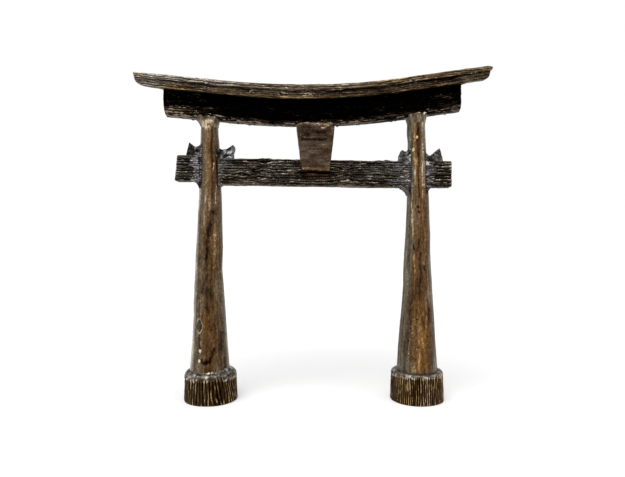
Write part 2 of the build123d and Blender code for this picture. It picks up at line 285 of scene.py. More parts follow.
def wood_grain(rings, bar, spacing, seed, knots=(), wander=0.9):
    """Grooves that run along a bar: their depth from 0 to 1, and the bright lines beside them."""
    lines = round(bar.girth / spacing)
    phase = lines * bar.turn / bar.girth
    phase = phase + wander * cloud(rings, (15, 2.2, 2.2), seed, 3)
    phase = phase + 0.12 * cloud(rings, (1.2, 0.6, 0.6), seed + 11, 2)
    phase = phase + bend_round(knots, rings[..., 0], rings[..., 2])
    line = np.stack([np.round(phase), 0 * phase, 0 * phase], axis=-1)
    strength = 0.8 + 0.3 * lattice(line, seed) + 0.6 * cloud(rings, (3, 0.8, 0.8), seed + 3, 2)
    hairs = furrows(2 * phase + 0.4 * noise(rings, (3, 1, 1), seed + 7), 2)
    hairs = 0.75 * hairs * smooth(cloud(rings, (3, 0.5, 0.5), seed + 13, 2), -0.5, 0.5)
    lengthwise = np.maximum(furrows(phase, 1.8) * np.clip(strength, 0.1, 1.2), hairs)
    growth = 2.6 * bar.share + 1.4 * noise(rings, 2.4, seed + 5)
    rough = smooth(cloud(rings, (0.9, 0.9, 0.9), seed + 15, 3), -0.7, 0.9)
    groove = lengthwise * (1 - bar.cap) + (0.16 * furrows(growth, 1) + 0.4 * rough) * bar.cap
    broken = smooth(cloud(rings, (0.9, 0.5, 0.5), seed + 9, 2), -0.2, 0.5)
    crest = crests(phase + 0.28, 12) * broken * (1 - bar.cap)
    return groove, crest


def pits(points, grain, seed, share):
    """Small round hollows scattered over a surface, their depth from 0 to 1."""
    return smooth(noise(points, grain, seed), 1 - share, 1)


def from_line(x, z, path):
    """Distance of each point from a line through some places."""
    nearest = np.inf
    for (start_x, start_z), (end_x, end_z) in zip(path, path[1:]):
        run_x, run_z = end_x - start_x, end_z - start_z
        share = ((x - start_x) * run_x + (z - start_z) * run_z) / (run_x**2 + run_z**2)
        share = np.clip(share, 0, 1)
        off = np.hypot(x - start_x - share * run_x, z - start_z - share * run_z)
        nearest = np.minimum(nearest, off)
    return nearest


def nodules(points, places, radius):
    """Drops of metal stuck to the surface at some places, their height from 0 to 1."""
    height = np.zeros(points.shape[:-1])
    for place in places:
        height = np.maximum(height, hump(np.linalg.norm(points - place, axis=-1), radius))
    return height


# ---------------------------------------------------------------- materials

def add_node(tree, kind, inputs=(), **settings):
    """Adds a shader node. An input that is a socket is linked, and any other is its value."""
    node = tree.nodes.new(f"ShaderNode{kind}")
    for key, value in settings.items():
        setattr(node, key, value)
    for key, value in dict(inputs).items():
        if isinstance(value, bpy.types.NodeSocket):
            tree.links.new(value, node.inputs[key])
        else:
            node.inputs[key].default_value = value
    return node


def attribute(tree, name):
    return add_node(tree, "Attribute", attribute_name=name).outputs["Fac"]


def combine(tree, operation, first, second):
    node = add_node(tree, "Math", {0: first, 1: second}, operation=operation)
    return node.outputs[0]


def weighted(tree, *terms):
    """The sum of (socket, weight) pairs."""
    total = None
    for socket, weight in terms:
        part = combine(tree, "MULTIPLY", socket, weight)
        total = part if total is None else combine(tree, "ADD", total, part)
    return total


def texture(tree, kind, grain, **settings):
    """A texture whose grain is given in millimetres along each axis."""
    place = add_node(tree, "TexCoord").outputs["Object"]
    scale = tuple(1 / (size * MM) for size in grain)
    mapped = add_node(tree, "Mapping", {"Vector": place, "Scale": scale}).outputs["Vector"]
    return add_node(tree, kind, {"Vector": mapped, "Scale": 1.0, **settings})


def grain_texture(tree, grain, detail, roughness=0.6):
    """Noise from -0.5 to 0.5."""
    noises = texture(tree, "TexNoise", grain, Detail=detail, Roughness=roughness)
    return combine(tree, "SUBTRACT", noises.outputs["Fac"], 0.5)


def nick_texture(tree, grain, share):
    """Small scattered dots, 1 in their middle: one in that share of the grains."""
    cells = texture(tree, "TexVoronoi", grain)
    random = add_node(tree, "SeparateColor", {0: cells.outputs["Color"]}).outputs[0]
    chosen = combine(tree, "LESS_THAN", random, share)
    dot = remap(tree, cells.outputs["Distance"], 0.1, 0.36, 1.0, 0.0)
    return combine(tree, "MULTIPLY", chosen, dot)


def ramp(tree, value, stops):
    """A colour ramp through (position, colour) stops."""
    node = add_node(tree, "ValToRGB", {"Fac": value})
    elements = node.color_ramp.elements
    while len(elements) < len(stops):
        elements.new(1.0)
    for element, (position, colour) in zip(elements, stops):
        element.position = position
        element.color = (*colour, 1.0)
    return node.outputs["Color"]


def remap(tree, value, low, high, to_low, to_high):
    ends = {"From Min": low, "From Max": high, "To Min": to_low, "To Max": to_high}
    return add_node(tree, "MapRange", {"Value": value, **ends}).outputs["Result"]


def mix_colour(tree, factor, first, second):
    node = add_node(tree, "Mix", {0: factor, 6: first, 7: second}, data_type="RGBA")
    return node.outputs[2]


def empty_tree(owner):
    """The cleared node tree of a new material or world."""
    owner.use_nodes = True
    owner.node_tree.nodes.clear()
    return owner.node_tree


def srgb(red, green, blue):
    """A colour written in 0 to 255, as linear light."""
    return tuple(
        c / 12.92 if c <= 0.04045 else ((c + 0.055) / 1.055) ** 2.4
        for c in (v / 255 for v in (red, green, blue))
    )


def spread(colours):
    """Evenly spaced stops of a ramp from level 0 to level 1."""
    return [(k / (len(colours) - 1), srgb(*colour)) for k, colour in enumerate(colours)]


NICKS = ((0.9, 0.6, 0.6), 0.3, 0.35)  # as bronze takes them
SPECK = 0.26  # the grain of the specks
BUMP_STRENGTH, BUMP_HEIGHT = 0.5, 0.25


def bronze(
    name, streak, colours, cool, gilt, mottle=0.6, speckle=0.5, nicks=NICKS, roughness=0.42
):
    """Patinated bronze: dark in its hollows and rubbed bright on its ridges.

    streak is the grain of the patina along X, Y and Z in millimetres. colours run from the
    hollows, at level 0, to the most rubbed ridges, at level 1. cool are the greys that they
    turn to in patches, and gilt the yellow of bare metal. mottle and speckle say how uneven
    the level is. nicks are tiny and bright: their grain, the share of the grains that hold
    one, and how bright they are. The hollows are rougher than roughness, the ridges smoother."""
    material = bpy.data.materials.new(name)
    tree = empty_tree(material)
    streaks = grain_texture(tree, streak, 4, 0.65)
    patches = grain_texture(tree, tuple(4 * size for size in streak), 2)
    specks = grain_texture(tree, (SPECK, SPECK, SPECK), 3, 0.7)
    nick_grain, nick_share, nick_light = nicks
    level = weighted(
        tree,
        (attribute(tree, "level"), 1.0),
        (streaks, mottle),
        (patches, 0.6 * mottle),
        (specks, speckle),
        (nick_texture(tree, nick_grain, nick_share), nick_light),
    )
    warm = ramp(tree, level, spread(colours))
    grey = ramp(tree, level, spread(cool))
    bare = ramp(tree, level, spread(gilt))
    cooling = weighted(tree, (patches, 1.2), (specks, 0.6), (attribute(tree, "cool"), 1.0))
    colour = mix_colour(tree, remap(tree, cooling, 0.0, 1.0, 0.0, 1.0), warm, grey)
    gilding = weighted(tree, (streaks, 0.8), (specks, 0.5), (attribute(tree, "gold"), 1.0))
    colour = mix_colour(tree, remap(tree, gilding, 0.1, 1.0, 0.0, 1.0), colour, bare)

    fine = grain_texture(tree, tuple(0.35 * size for size in streak), 5, 0.7)
    rough = weighted(tree, (fine, 0.6), (specks, 0.5))
    bump = {"Strength": BUMP_STRENGTH, "Distance": BUMP_HEIGHT * MM, "Height": rough}
    surface = {
        "Base Color": colour,
        "Metallic": 1.0,
        "Roughness": remap(tree, level, 0.1, 1.0, roughness + 0.2, roughness - 0.08),
        "Normal": add_node(tree, "Bump", bump).outputs["Normal"],
    }
    shader = add_node(tree, "BsdfPrincipled", surface)
    add_node(tree, "OutputMaterial", {"Surface": shader.outputs["BSDF"]})
    return material


ALONG_X = (3.0, 0.5, 0.45)
ALONG_Z = (0.9, 0.9, 7.0)
EVEN = (0.9, 0.9, 0.9)
GREYS = [(8, 8, 8), (58, 56, 52), (118, 115, 108), (190, 188, 184)]
GILT = [(30, 16, 5), (104, 72, 34), (160, 118, 66), (236, 205, 150)]
BRASSY = [(24, 15, 5), (84, 62, 30), (138, 108, 62), (214, 186, 132)]

PLANK_BRONZE = bronze(
    "weathered_bronze_planks",
    ALONG_X,
    [(5, 4, 3), (48, 38, 28), (98, 84, 65), (172, 156, 128)],
    cool=[(8, 8, 9), (58, 55, 53), (116, 112, 107), (192, 190, 188)],
    gilt=[(22, 14, 6), (78, 57, 31), (130, 100, 58), (206, 180, 130)],
    nicks=((0.7, 0.5, 0.5), 0.22, 0.4),
)
# The lintel's near-black is its dark patina together with painted shade under the top rail's
# overhang.
LINTEL_BRONZE_AND_SHADE = bronze(
    "dark_bronze_and_painted_shade_lintel",
    ALONG_X,
    [(0, 0, 0), (3, 2, 2), (44, 33, 24), (142, 126, 108)],
    cool=[(0, 0, 0), (4, 4, 4), (60, 56, 52), (140, 134, 126)],
    gilt=GILT,
    nicks=((0.6, 0.45, 0.45), 0.12, 0.5),
    roughness=0.5,
)
BEAM_BRONZE = bronze(
    "weathered_bronze_beam",
    ALONG_X,
    [(2, 1, 1), (32, 26, 21), (84, 75, 62), (166, 154, 134)],
    cool=[(3, 3, 3), (40, 39, 38), (98, 96, 94), (188, 188, 188)],
    gilt=[(18, 10, 5), (78, 54, 34), (130, 100, 64), (210, 184, 138)],
    speckle=0.75,
    nicks=((0.6, 0.4, 0.4), 0.3, 0.4),
)
POST_BRONZE = bronze(
    "rubbed_bronze_posts",
    ALONG_Z,
    [(16, 9, 5), (50, 34, 20), (84, 61, 38), (119, 92, 61), (200, 172, 130)],
    cool=[(20, 17, 13), (57, 51, 42), (90, 83, 69), (124, 117, 100), (224, 216, 202)],
    gilt=[(24, 12, 4), (90, 57, 24), (130, 89, 42), (196, 158, 100)],
    mottle=0.42,
    speckle=0.8,
    nicks=((0.6, 0.6, 0.7), 0.1, 0.3),
    roughness=0.36,
)
BARK_BRONZE = bronze(
    "weathered_bronze_bark",
    (0.5, 0.5, 6.0),
    [(7, 4, 2), (50, 34, 19), (98, 74, 45), (206, 184, 142)],
    cool=GREYS,
    gilt=BRASSY,
    nicks=((0.3, 0.3, 1.4), 0.2, 0.3),
)
BEAD_BRONZE = bronze(
    "fused_bronze",
    EVEN,
    [(6, 6, 5), (52, 47, 40), (98, 91, 80), (184, 180, 172)],
    cool=[(8, 8, 9), (54, 54, 55), (108, 108, 110), (205, 206, 208)],
    gilt=BRASSY,
    roughness=0.34,
)
CROSSING_BRONZE = bronze(
    "fused_bronze_streaked",
    (1.6, 0.3, 0.25),
    [(6, 6, 5), (52, 47, 40), (98, 91, 80), (184, 180, 172)],
    cool=[(8, 8, 9), (56, 55, 58), (110, 108, 114), (206, 205, 210)],
    gilt=BRASSY,
    nicks=((0.7, 0.35, 0.35), 0.3, 0.35),
    roughness=0.34,
)
WEDGE_BRONZE = bronze(
    "dark_bronze_wedges",
    EVEN,
    [(5, 5, 4), (40, 38, 33), (86, 83, 76), (170, 168, 162)],
    cool=[(6, 7, 7), (46, 49, 49), (110, 113, 115), (212, 214, 226)],
    gilt=BRASSY,
    roughness=0.34,
)
TABLET_BRONZE = bronze(
    "rubbed_bronze_tablet",
    (2.0, 1.2, 0.9),
    [(12, 8, 4), (50, 38, 28), (84, 69, 55), (160, 136, 104)],
    cool=[(20, 16, 14), (56, 48, 42), (92, 84, 74), (156, 150, 136)],
    gilt=GILT,
    mottle=0.45,
    speckle=0.35,
    nicks=((0.8, 0.5, 0.5), 0.08, 0.25),
)


# ---------------------------------------------------------------- top rail

# Scratched places on the front of the top rail: their X, their depth under its upper surface,
# and their half length and half height.
SCRATCHES = (
    (-31.9, 2.1, 0.7, 1.0),
    (-18.4, 2.1, 1.0, 0.7),
    (-8.9, 2.7, 1.9, 0.9),
    (-1.0, 2.5, 2.2, 1.2),
    (8.5, 1.8, 0.5, 0.9),
    (30.2, 1.7, 2.8, 0.9),
)
# X from which and to which the lower plank's rim is rubbed to bare metal, each with its fading.
RIM_SPAN = (-50, -46, 41, 45)


def rail_scratches(rings, seed):
    """Ragged scratches on the rail's front: how deep, from 0 to 1, and how bright."""
    x, depth = rings[..., 0], curve_z(rings[..., 0], 0) - rings[..., 2]
    zone = np.maximum.reduce([
        hump(x - at, long) * hump(depth - down, high) for at, down, long, high in SCRATCHES
    ])
    marks = cloud(rings, (0.8, 0.8, 0.5), seed, 3)
    outline = smooth(1 - 5 * np.abs(marks), 0, 0.8)
    return zone * smooth(marks, 0.1, 0.5), zone * outline


def seam_depth(x):
    """Depth of the wandering joint between the two planks."""
    line = np.stack([x, 0 * x, 0 * x], axis=-1)
    return PLANK_SEAM + 0.16 * cloud(line, (3.5, 1, 1), 17, 2)


# Where the rail's overhanging ends begin, on its underside: they slope up towards the back.
OVERHANG = (44.8, 47.5)
UPPER_SLOPE, LOWER_SLOPE = 0.4, 1.9
RAIL_CROWN = 0.12  # how far the rough top stands over the curve
RAIL_SWELL = (-7, 9, 0.15)  # its X, its half length, and how far it adds to that
# Each end face of a plank, as (height from -1 to 1, distance in from the tip) pairs.
UPPER_ENDS = {
    LEFT: ((-1, 0.34), (1, 0.0)),
    RIGHT: ((-1, 0.7), (-0.3, 0.1), (0.1, 0.0), (0.5, 0.3), (1, 1.5)),
}
LOWER_ENDS = {
    LEFT: ((-1, 4.5), (-0.75, 2.2), (0.0, 0.9), (1, 0.3)),
    RIGHT: ((-1, 2.5), (-0.6, 1.4), (0.0, 1.0), (1, 0.75)),
}
RAIL_GROWTH = {LEFT: 0.3, RIGHT: 0.5}  # how far the worn tips stand out
TIPS = {
    side: side * (cad_box("top_rail_upper_plank")[1][0] + growth)
    for side, growth in RAIL_GROWTH.items()
}
RAIL_LENGTH = TIPS[RIGHT] - TIPS[LEFT]


def rail_rings(bar, ends, half_depth, top_depth, bottom_depth, slope):
    """Rings of a bar that follows the rails' curve between two of its lines. Its ends are
    shaped by (height, distance in) pairs, and its overhanging parts slope up to the back."""
    left, right = (
        TIPS[side] - side * np.interp(bar.up, *zip(*ends[side])) for side in (LEFT, RIGHT)
    )
    x = left + bar.at * (right - left) / bar.length
    slope = slope * smooth(np.abs(x), *OVERHANG) * smooth(bar.across, -1, 1)
    top, bottom = curve_z(x, top_depth), curve_z(x, bottom_depth - slope)
    z = (top + bottom) / 2 + bar.up * (top - bottom) / 2
    return np.stack([x, bar.across * half_depth, z], axis=-1)


def carved_plank(rings, bar, seed, wander, growth, depth):
    """A plank's tube with its relief, where its front is, its grain and crests, and how deep and
    how bright its scratches are."""
    rings = wobble(rings, 0.07, (5, 2, 2), seed + 1)
    front = smooth(-bar.across, 0.6, 0.95)
    grain, crest = wood_grain(rings, bar, 0.6, seed + 2, wander=wander)
    cut, nicks = rail_scratches(rings, seed + 9)
    cut = cut * front
    fine = cloud(rings, (2, 0.5, 0.5), seed + 7)
    rings = raised(rings, growth - depth * grain - 0.12 * cut + 0.05 * fine)
    return rings, front, grain, crest, cut, nicks


def build_upper_plank():
    half_depth = cad_box("top_rail_upper_plank")[1][1]
    bar = Bar(
        RAIL_LENGTH, half_depth, PLANK_SEAM / 2,
        rounding=0.3, end_rounding=0.3, step=0.28, pitch=0.12,
    )
    seam = seam_depth(TIPS[LEFT] + bar.at)
    swell_x, swell_long, swell = RAIL_SWELL
    crown = RAIL_CROWN + swell * hump(TIPS[LEFT] + bar.at - swell_x, swell_long)
    rings = rail_rings(bar, UPPER_ENDS, half_depth, -crown, seam, UPPER_SLOPE)
    rings, front, grain, crest, cut, nicks = carved_plank(
        rings, bar, seed=0, wander=0.7, growth=0.06, depth=0.17
    )
    x = rings[..., 0]
    # The underside is painted darker: painted shade over the joint between the planks.
    under = smooth(-bar.up, 0.8, 1)
    patch = hump(x - TIPS[LEFT] - 2, 1.3) * hump(bar.up - 0.2, 0.8) * front
    mottled = cloud(rings, (8, 2, 1.2), 21)
    add_piece(
        "top_rail_upper_plank", rings, PLANK_BRONZE,
        level=0.6 - 0.7 * grain + 0.3 * crest - 0.25 * cut + 0.7 * nicks * front
        - 0.25 * under + 0.14 * mottled + 0.08 * smooth(-x, 15, 40) - 0.04 * smooth(x, 0, 20)
        + 0.05 * smooth(-x, 36, 46) + 0.05 * hump(x, 14),
        cool=0.05 + 0.4 * smooth(-x, 0, 40) - 0.5 * patch + 0.6 * nicks + 0.3 * mottled,
        gold=0.8 * patch + 0.6 * smooth(x, -10, 30) - 0.25 + 0.3 * mottled,
    )


def build_lower_plank():
    half_depth = cad_box("top_rail_lower_plank")[1][1]
    half_height = (RAIL_BOTTOM - PLANK_SEAM) / 2
    bar = Bar(
        RAIL_LENGTH, half_depth, half_height, rounding=0.35, end_rounding=0.3, step=0.28, pitch=0.12
    )
    seam = seam_depth(TIPS[LEFT] + bar.at)
    rings = rail_rings(bar, LOWER_ENDS, half_depth, seam, RAIL_BOTTOM, LOWER_SLOPE)
    flush = cad_box("top_rail_upper_plank")[1][1] - half_depth
    outer = smooth(np.abs(rings[..., 0]), 36, 52)
    rings[..., 1] -= smooth(-bar.across, 0.3, 0.9) * flush * (0.55 + 0.35 * outer)
    rings, front, grain, crest, cut, nicks = carved_plank(
        rings, bar, seed=30, wander=0.8, growth=0.05, depth=0.18
    )
    x = rings[..., 0]
    rim = smooth(-bar.up, 0.35, 0.85) * smooth(-bar.across, 0.1, 0.6) * between(x, *RIM_SPAN)
    rubbed = rim * (0.75 + 0.5 * cloud(rings, (4, 1, 0.6), 43, 2))
    # Painted shade: shaded darkens the plank from the middle to near its right end, under the upper
    # plank, and joint darkens the top of its front along the seam on the right half.
    shaded = between(x, -5, 15, 42, 46)
    joint = smooth(bar.up, 0.35, 0.85) * front * smooth(x, -10, 10)
    smear = smooth(x, 44, 50) * smooth(cloud(rings, (1.6, 1, 0.6), 45, 2), 0.0, 0.6)
    mottled = cloud(rings, (6, 2, 1.2), 47)
    add_piece(
        "top_rail_lower_plank", rings, PLANK_BRONZE,
        level=0.42 - 0.7 * grain + 0.36 * crest - 0.25 * cut + 0.75 * nicks * front
        + 0.16 * rubbed + 0.3 * smear + 0.14 * mottled - 0.1 * shaded - 0.3 * joint
        + 0.14 * smooth(-x, 36, 46) + 0.04 * hump(x, 14),
        cool=-0.25 + 0.6 * nicks + 0.7 * smooth(-x, 38, 48) - 0.5 * rubbed,
        gold=-0.1 + 0.85 * rubbed,
    )


# ---------------------------------------------------------------- lintel

DROP_COUNT = 30
BEVEL = 0.9  # how far the lower edges of the lintel's faces are rounded back
LINTEL_GROWTH = 0.35  # how far its rough foot and right end stand out
LINTEL_RAKE = 0.4  # how far its left end slants inwards to the foot
LINTEL_SPLAY = 0.5  # how far both ends slant outwards to the foot, at the back


def build_lintel():
    low, high = cad_box("lintel")
    half_depth = high[1]
    half_height = (LINTEL_BOTTOM - RAIL_BOTTOM) / 2
    length = high[0] + LINTEL_GROWTH - low[0]
    bar = Bar(
        length, half_depth, half_height, rounding=0.3, end_rounding=0.25, step=0.28, pitch=0.14
    )
    lower_half = smooth(-bar.up, -0.1, 1)
    x = low[0] + bar.at + LINTEL_RAKE * lower_half * (1 - bar.at / length)
    splay = LINTEL_SPLAY * np.sign(x) * smooth(np.abs(x), 38, 45) * smooth(bar.across, -0.8, 0.8)
    x = x + splay * lower_half
    top, bottom = curve_z(x, RAIL_BOTTOM), curve_z(x, LINTEL_BOTTOM + LINTEL_GROWTH)
    z = (top + bottom) / 2 + bar.up * (top - bottom) / 2
    y = bar.across * (half_depth - BEVEL * smooth(-bar.up, 0.66, 1) * (np.abs(bar.across) > 0.5))
    rings = np.stack([x, y, z], axis=-1)
    rings = wobble(rings, 0.06, (6, 2, 2), 51)
    grain, crest = wood_grain(rings, bar, 0.55, 52, wander=1.0)
    random = np.random.default_rng(SEED)
    drops = random.uniform(low[0] + 2, high[0] - 2, DROP_COUNT)
    across = random.uniform(0, half_depth, DROP_COUNT)
    foot = curve_z(drops, LINTEL_BOTTOM + LINTEL_GROWTH)
    places = np.stack([drops, across, foot], axis=-1)
    drop = nodules(rings, places, 0.3)
    height = 0.03 - 0.17 * grain + 0.05 * cloud(rings, (1.5, 0.5, 0.5), 57) + 0.38 * drop
    rings = raised(rings, height)
    x = rings[..., 0]
    ragged = 0.14 * cloud(rings, (4, 2, 0.8), 61, 2)
    underside = smooth(-bar.up + ragged, 0.6, 0.9)
    left_zone = smooth(-x, 24, 42) * smooth(-bar.up + ragged, -0.1, 0.7)
    right_zone = smooth(x, 36, 43) * smooth(-bar.up + ragged, 0.4, 0.8)
    middling = 1.0 - 0.35 * smooth(x, 10, 18)
    brown = np.maximum.reduce([middling * underside, 0.8 * left_zone, 0.6 * right_zone])
    blotched = cloud(rings, (1.6, 1.6, 0.6), 63, 3)
    faint = crest * smooth(cloud(rings, (6, 2, 0.6), 65, 2), -0.4, 0.6)
    # Painted shade: the upper part of the front is a little darker and its faint lines fade, where
    # the top rail shades it.
    add_piece(
        "lintel", rings, LINTEL_BRONZE_AND_SHADE,
        level=0.12 + 0.5 * faint * (1 - 0.5 * smooth(bar.up, 0, 0.7))
        + 0.14 * cloud(rings, (4, 2, 1), 67, 2) + 0.08 * smooth(np.abs(x), 32, 42)
        - 0.06 * smooth(bar.up, 0, 0.8) + 0.02 * left_zone
        + crest * (0.35 * smooth(-x, 24, 40) + 0.15 * smooth(x, 20, 40))
        + brown * (0.6 - 0.62 * grain + 0.34 * crest + 0.22 * blotched + 0.2 * drop),
        cool=-0.35,
        gold=-0.3 + 0.25 * underside,
    )


# ---------------------------------------------------------------- tie beam

BEAM_HALF_HEIGHT = 7.7 / 2
BEAM_FALL = math.tan(math.radians(0.9))  # the beam falls to the right
BEAM_DROP_COUNT = 16
# Each knot as bend_round takes it, and the places of the lumps on the beam.
BEAM_KNOTS = (
    (10.2, 69.4, 2.4, 1.0, 1.8),
    (-16.2, 67.8, 1.8, 0.7, -1.2),
    (-14.6, 71.3, 1.8, 0.8, 1.2),
    (20.5, 70.6, 2.6, 0.9, 0.7),
    (-21.5, 69.0, 2.2, 0.9, -1.0),
)
BEAM_LUMPS = ((20.6, -0.8, 73.15), (22.6, -1.6, 72.9), (-13.6, -1.0, 73.75), (-15.2, -1.2, 73.7))
# How far from its axis each post stays in sight between the beams, and how far their fronts
# fall back there.
POST_SHOWS = {LEFT: (2.35, 0.62), RIGHT: (2.05, 0.35)}


def beside_post(side, x):
    """How far the front of a beam falls back where it meets a post."""
    reach, depth = POST_SHOWS[side]
    return depth * (1 - smooth(np.abs(x - post_axis(side)), reach, reach + 1.1))


def beam_z(x):
    """Height of the tie beam's middle line."""
    low, high = cad_box("tie_beam")
    return (low[2] + high[2]) / 2 - (x - (low[0] + high[0]) / 2) * BEAM_FALL


def build_tie_beam():
    half_depth = cad_box("tie_beam")[1][1]
    start, end = post_axis(LEFT), post_axis(RIGHT)
    bar = Bar(
        end - start, half_depth, BEAM_HALF_HEIGHT,
        rounding=0.45, end_rounding=0.4, step=0.25, pitch=0.135,
    )
    x = start + bar.at + 0 * bar.up
    narrowing = 1.5 * (beside_post(LEFT, x) + beside_post(RIGHT, x))
    y = bar.across * (half_depth - narrowing)
    rings = np.stack([x, y, beam_z(x) + bar.up * BEAM_HALF_HEIGHT], axis=-1)
    rings = wobble(rings, 0.07, (6, 2, 2), 71)
    grain, crest = wood_grain(rings, bar, 0.84, 72, BEAM_KNOTS, wander=0.42)
    lump = nodules(rings, np.array(BEAM_LUMPS), 1.2)
    random = np.random.default_rng(SEED + 1)
    drops = random.uniform(start + 5, end - 5, BEAM_DROP_COUNT)
    places = [(at, -half_depth, beam_z(at) - BEAM_HALF_HEIGHT) for at in drops]
    drop = nodules(rings, np.array(places), 0.3)
    tablet = cad_box("tablet")
    under_tablet = hump(x - (tablet[0][0] + tablet[1][0]) / 2, 5)
    under_tablet = under_tablet * between(bar.up, -0.75, -0.4, 0, 0.5)
    grain, crest = grain * (1 - 0.6 * under_tablet), crest * (1 - 0.7 * under_tablet)
    height = 0.17 - 0.27 * grain + 0.05 * cloud(rings, (1.5, 0.5, 0.5), 77)
    rings = raised(rings, height + 0.3 * lump + 0.2 * drop)
    underside = smooth(-bar.up, 0.85, 1)
    silver = hump(x - 24.3, 2.2) * smooth(bar.up, 0.4, 1)
    fused = hump(end - 6.2 - x, 2.0) + hump(x - start - 6.0, 1.8) * smooth(bar.up, -0.2, 0.5)
    add_piece(
        "tie_beam", rings, BEAM_BRONZE,
        level=0.46 - 0.9 * grain + 0.45 * crest + 0.16 * cloud(rings, (3, 2, 0.8), 81)
        - 0.2 * under_tablet + 0.1 * silver + 0.05 * fused - 0.04 * smooth(x, 5, 15),
        cool=0.1 + 0.5 * lump + 0.6 * silver - 0.8 * under_tablet + 0.6 * fused,
        gold=-0.3 + 0.8 * underside + 0.8 * under_tablet,
    )


# Each end of the beam: how far it stands out, the spacing of its grooves, and its level and cool.
BEAM_ENDS = {LEFT: (0.1, 0.85, 0.42, 0.3), RIGHT: (0.3, 1.0, 0.36, 0.1)}


def build_beam_end(side):
    node = f"tie_beam_{SIDE_NAMES[side]}_end"
    growth, spacing, level, cool = BEAM_ENDS[side]
    low, high = cad_box(node)
    axis_x = post_axis(side)
    outer = (high[0] if side == RIGHT else low[0]) + side * growth
    half_depth = high[1]
    bar = Bar(
        abs(outer - axis_x), half_depth, BEAM_HALF_HEIGHT,
        rounding=0.4, end_rounding=0.25, step=0.2, pitch=0.135,
    )
    x = min(outer, axis_x) + bar.at + 0 * bar.up
    if side == LEFT:  # its end face slants, the foot further out
        x = x + (0.3 + 0.4 * bar.up) * smooth(axis_x - x, 3, 9.9)
    z = (low[2] + high[2]) / 2 + bar.up * BEAM_HALF_HEIGHT
    y = bar.across * (half_depth - 1.5 * beside_post(side, x))
    rings = np.stack([x, y, z], axis=-1)
    rings = wobble(rings, 0.06, (4, 2, 2), 91 + side)
    grain, crest = wood_grain(rings, bar, spacing, 92 + side, wander=0.16)
    height = 0.14 - 0.3 * grain + 0.05 * cloud(rings, (1.2, 0.5, 0.5), 97)
    rings = raised(rings, height)
    worn_end = smooth(side * (x - axis_x), 8.9, 9.8)
    add_piece(
        node, rings, BEAM_BRONZE,
        level=level - 0.9 * grain + 0.6 * crest + 0.12 * worn_end
        + 0.1 * cloud(rings, (4, 2, 1), 98 + side),
        cool=cool,
        gold=-0.3 + 0.3 * smooth(-bar.up, 0.8, 1),
    )


# ---------------------------------------------------------------- posts

# How far each post strays from the straight at some heights: its shift to the right, and how
# much thicker it is. Worked out from where the posts' edges lie in the photo.
POST_DRIFT = {
    LEFT: (
        (9, 0.2, 0.18), (21, 0.2, 0.18), (26, 0.2, 0.08), (30, 0.05, 0.22), (35, -0.05, 0.2),
        (40, -0.12, 0.1), (47, 0.15, 0.4), (57, 0.24, 0.34), (62, 0.44, 0.2), (74, 0.25, 0.15),
        (79, 0.19, 0.18), (82, 0.12, 0.1),
    ),
    RIGHT: (
        (9, 0.03, 0.3), (16, 0.04, 0.38), (26, 0.11, 0.36), (35, 0.18, 0.13), (40, 0.06, 0.26),
        (45, 0.14, 0.3), (50, 0.27, 0.23), (59, 0.28, 0.09), (62, 0.32, 0.16), (74, 0.1, 0.03),
        (79, 0, 0), (82, -0.22, 0.2),
    ),
}
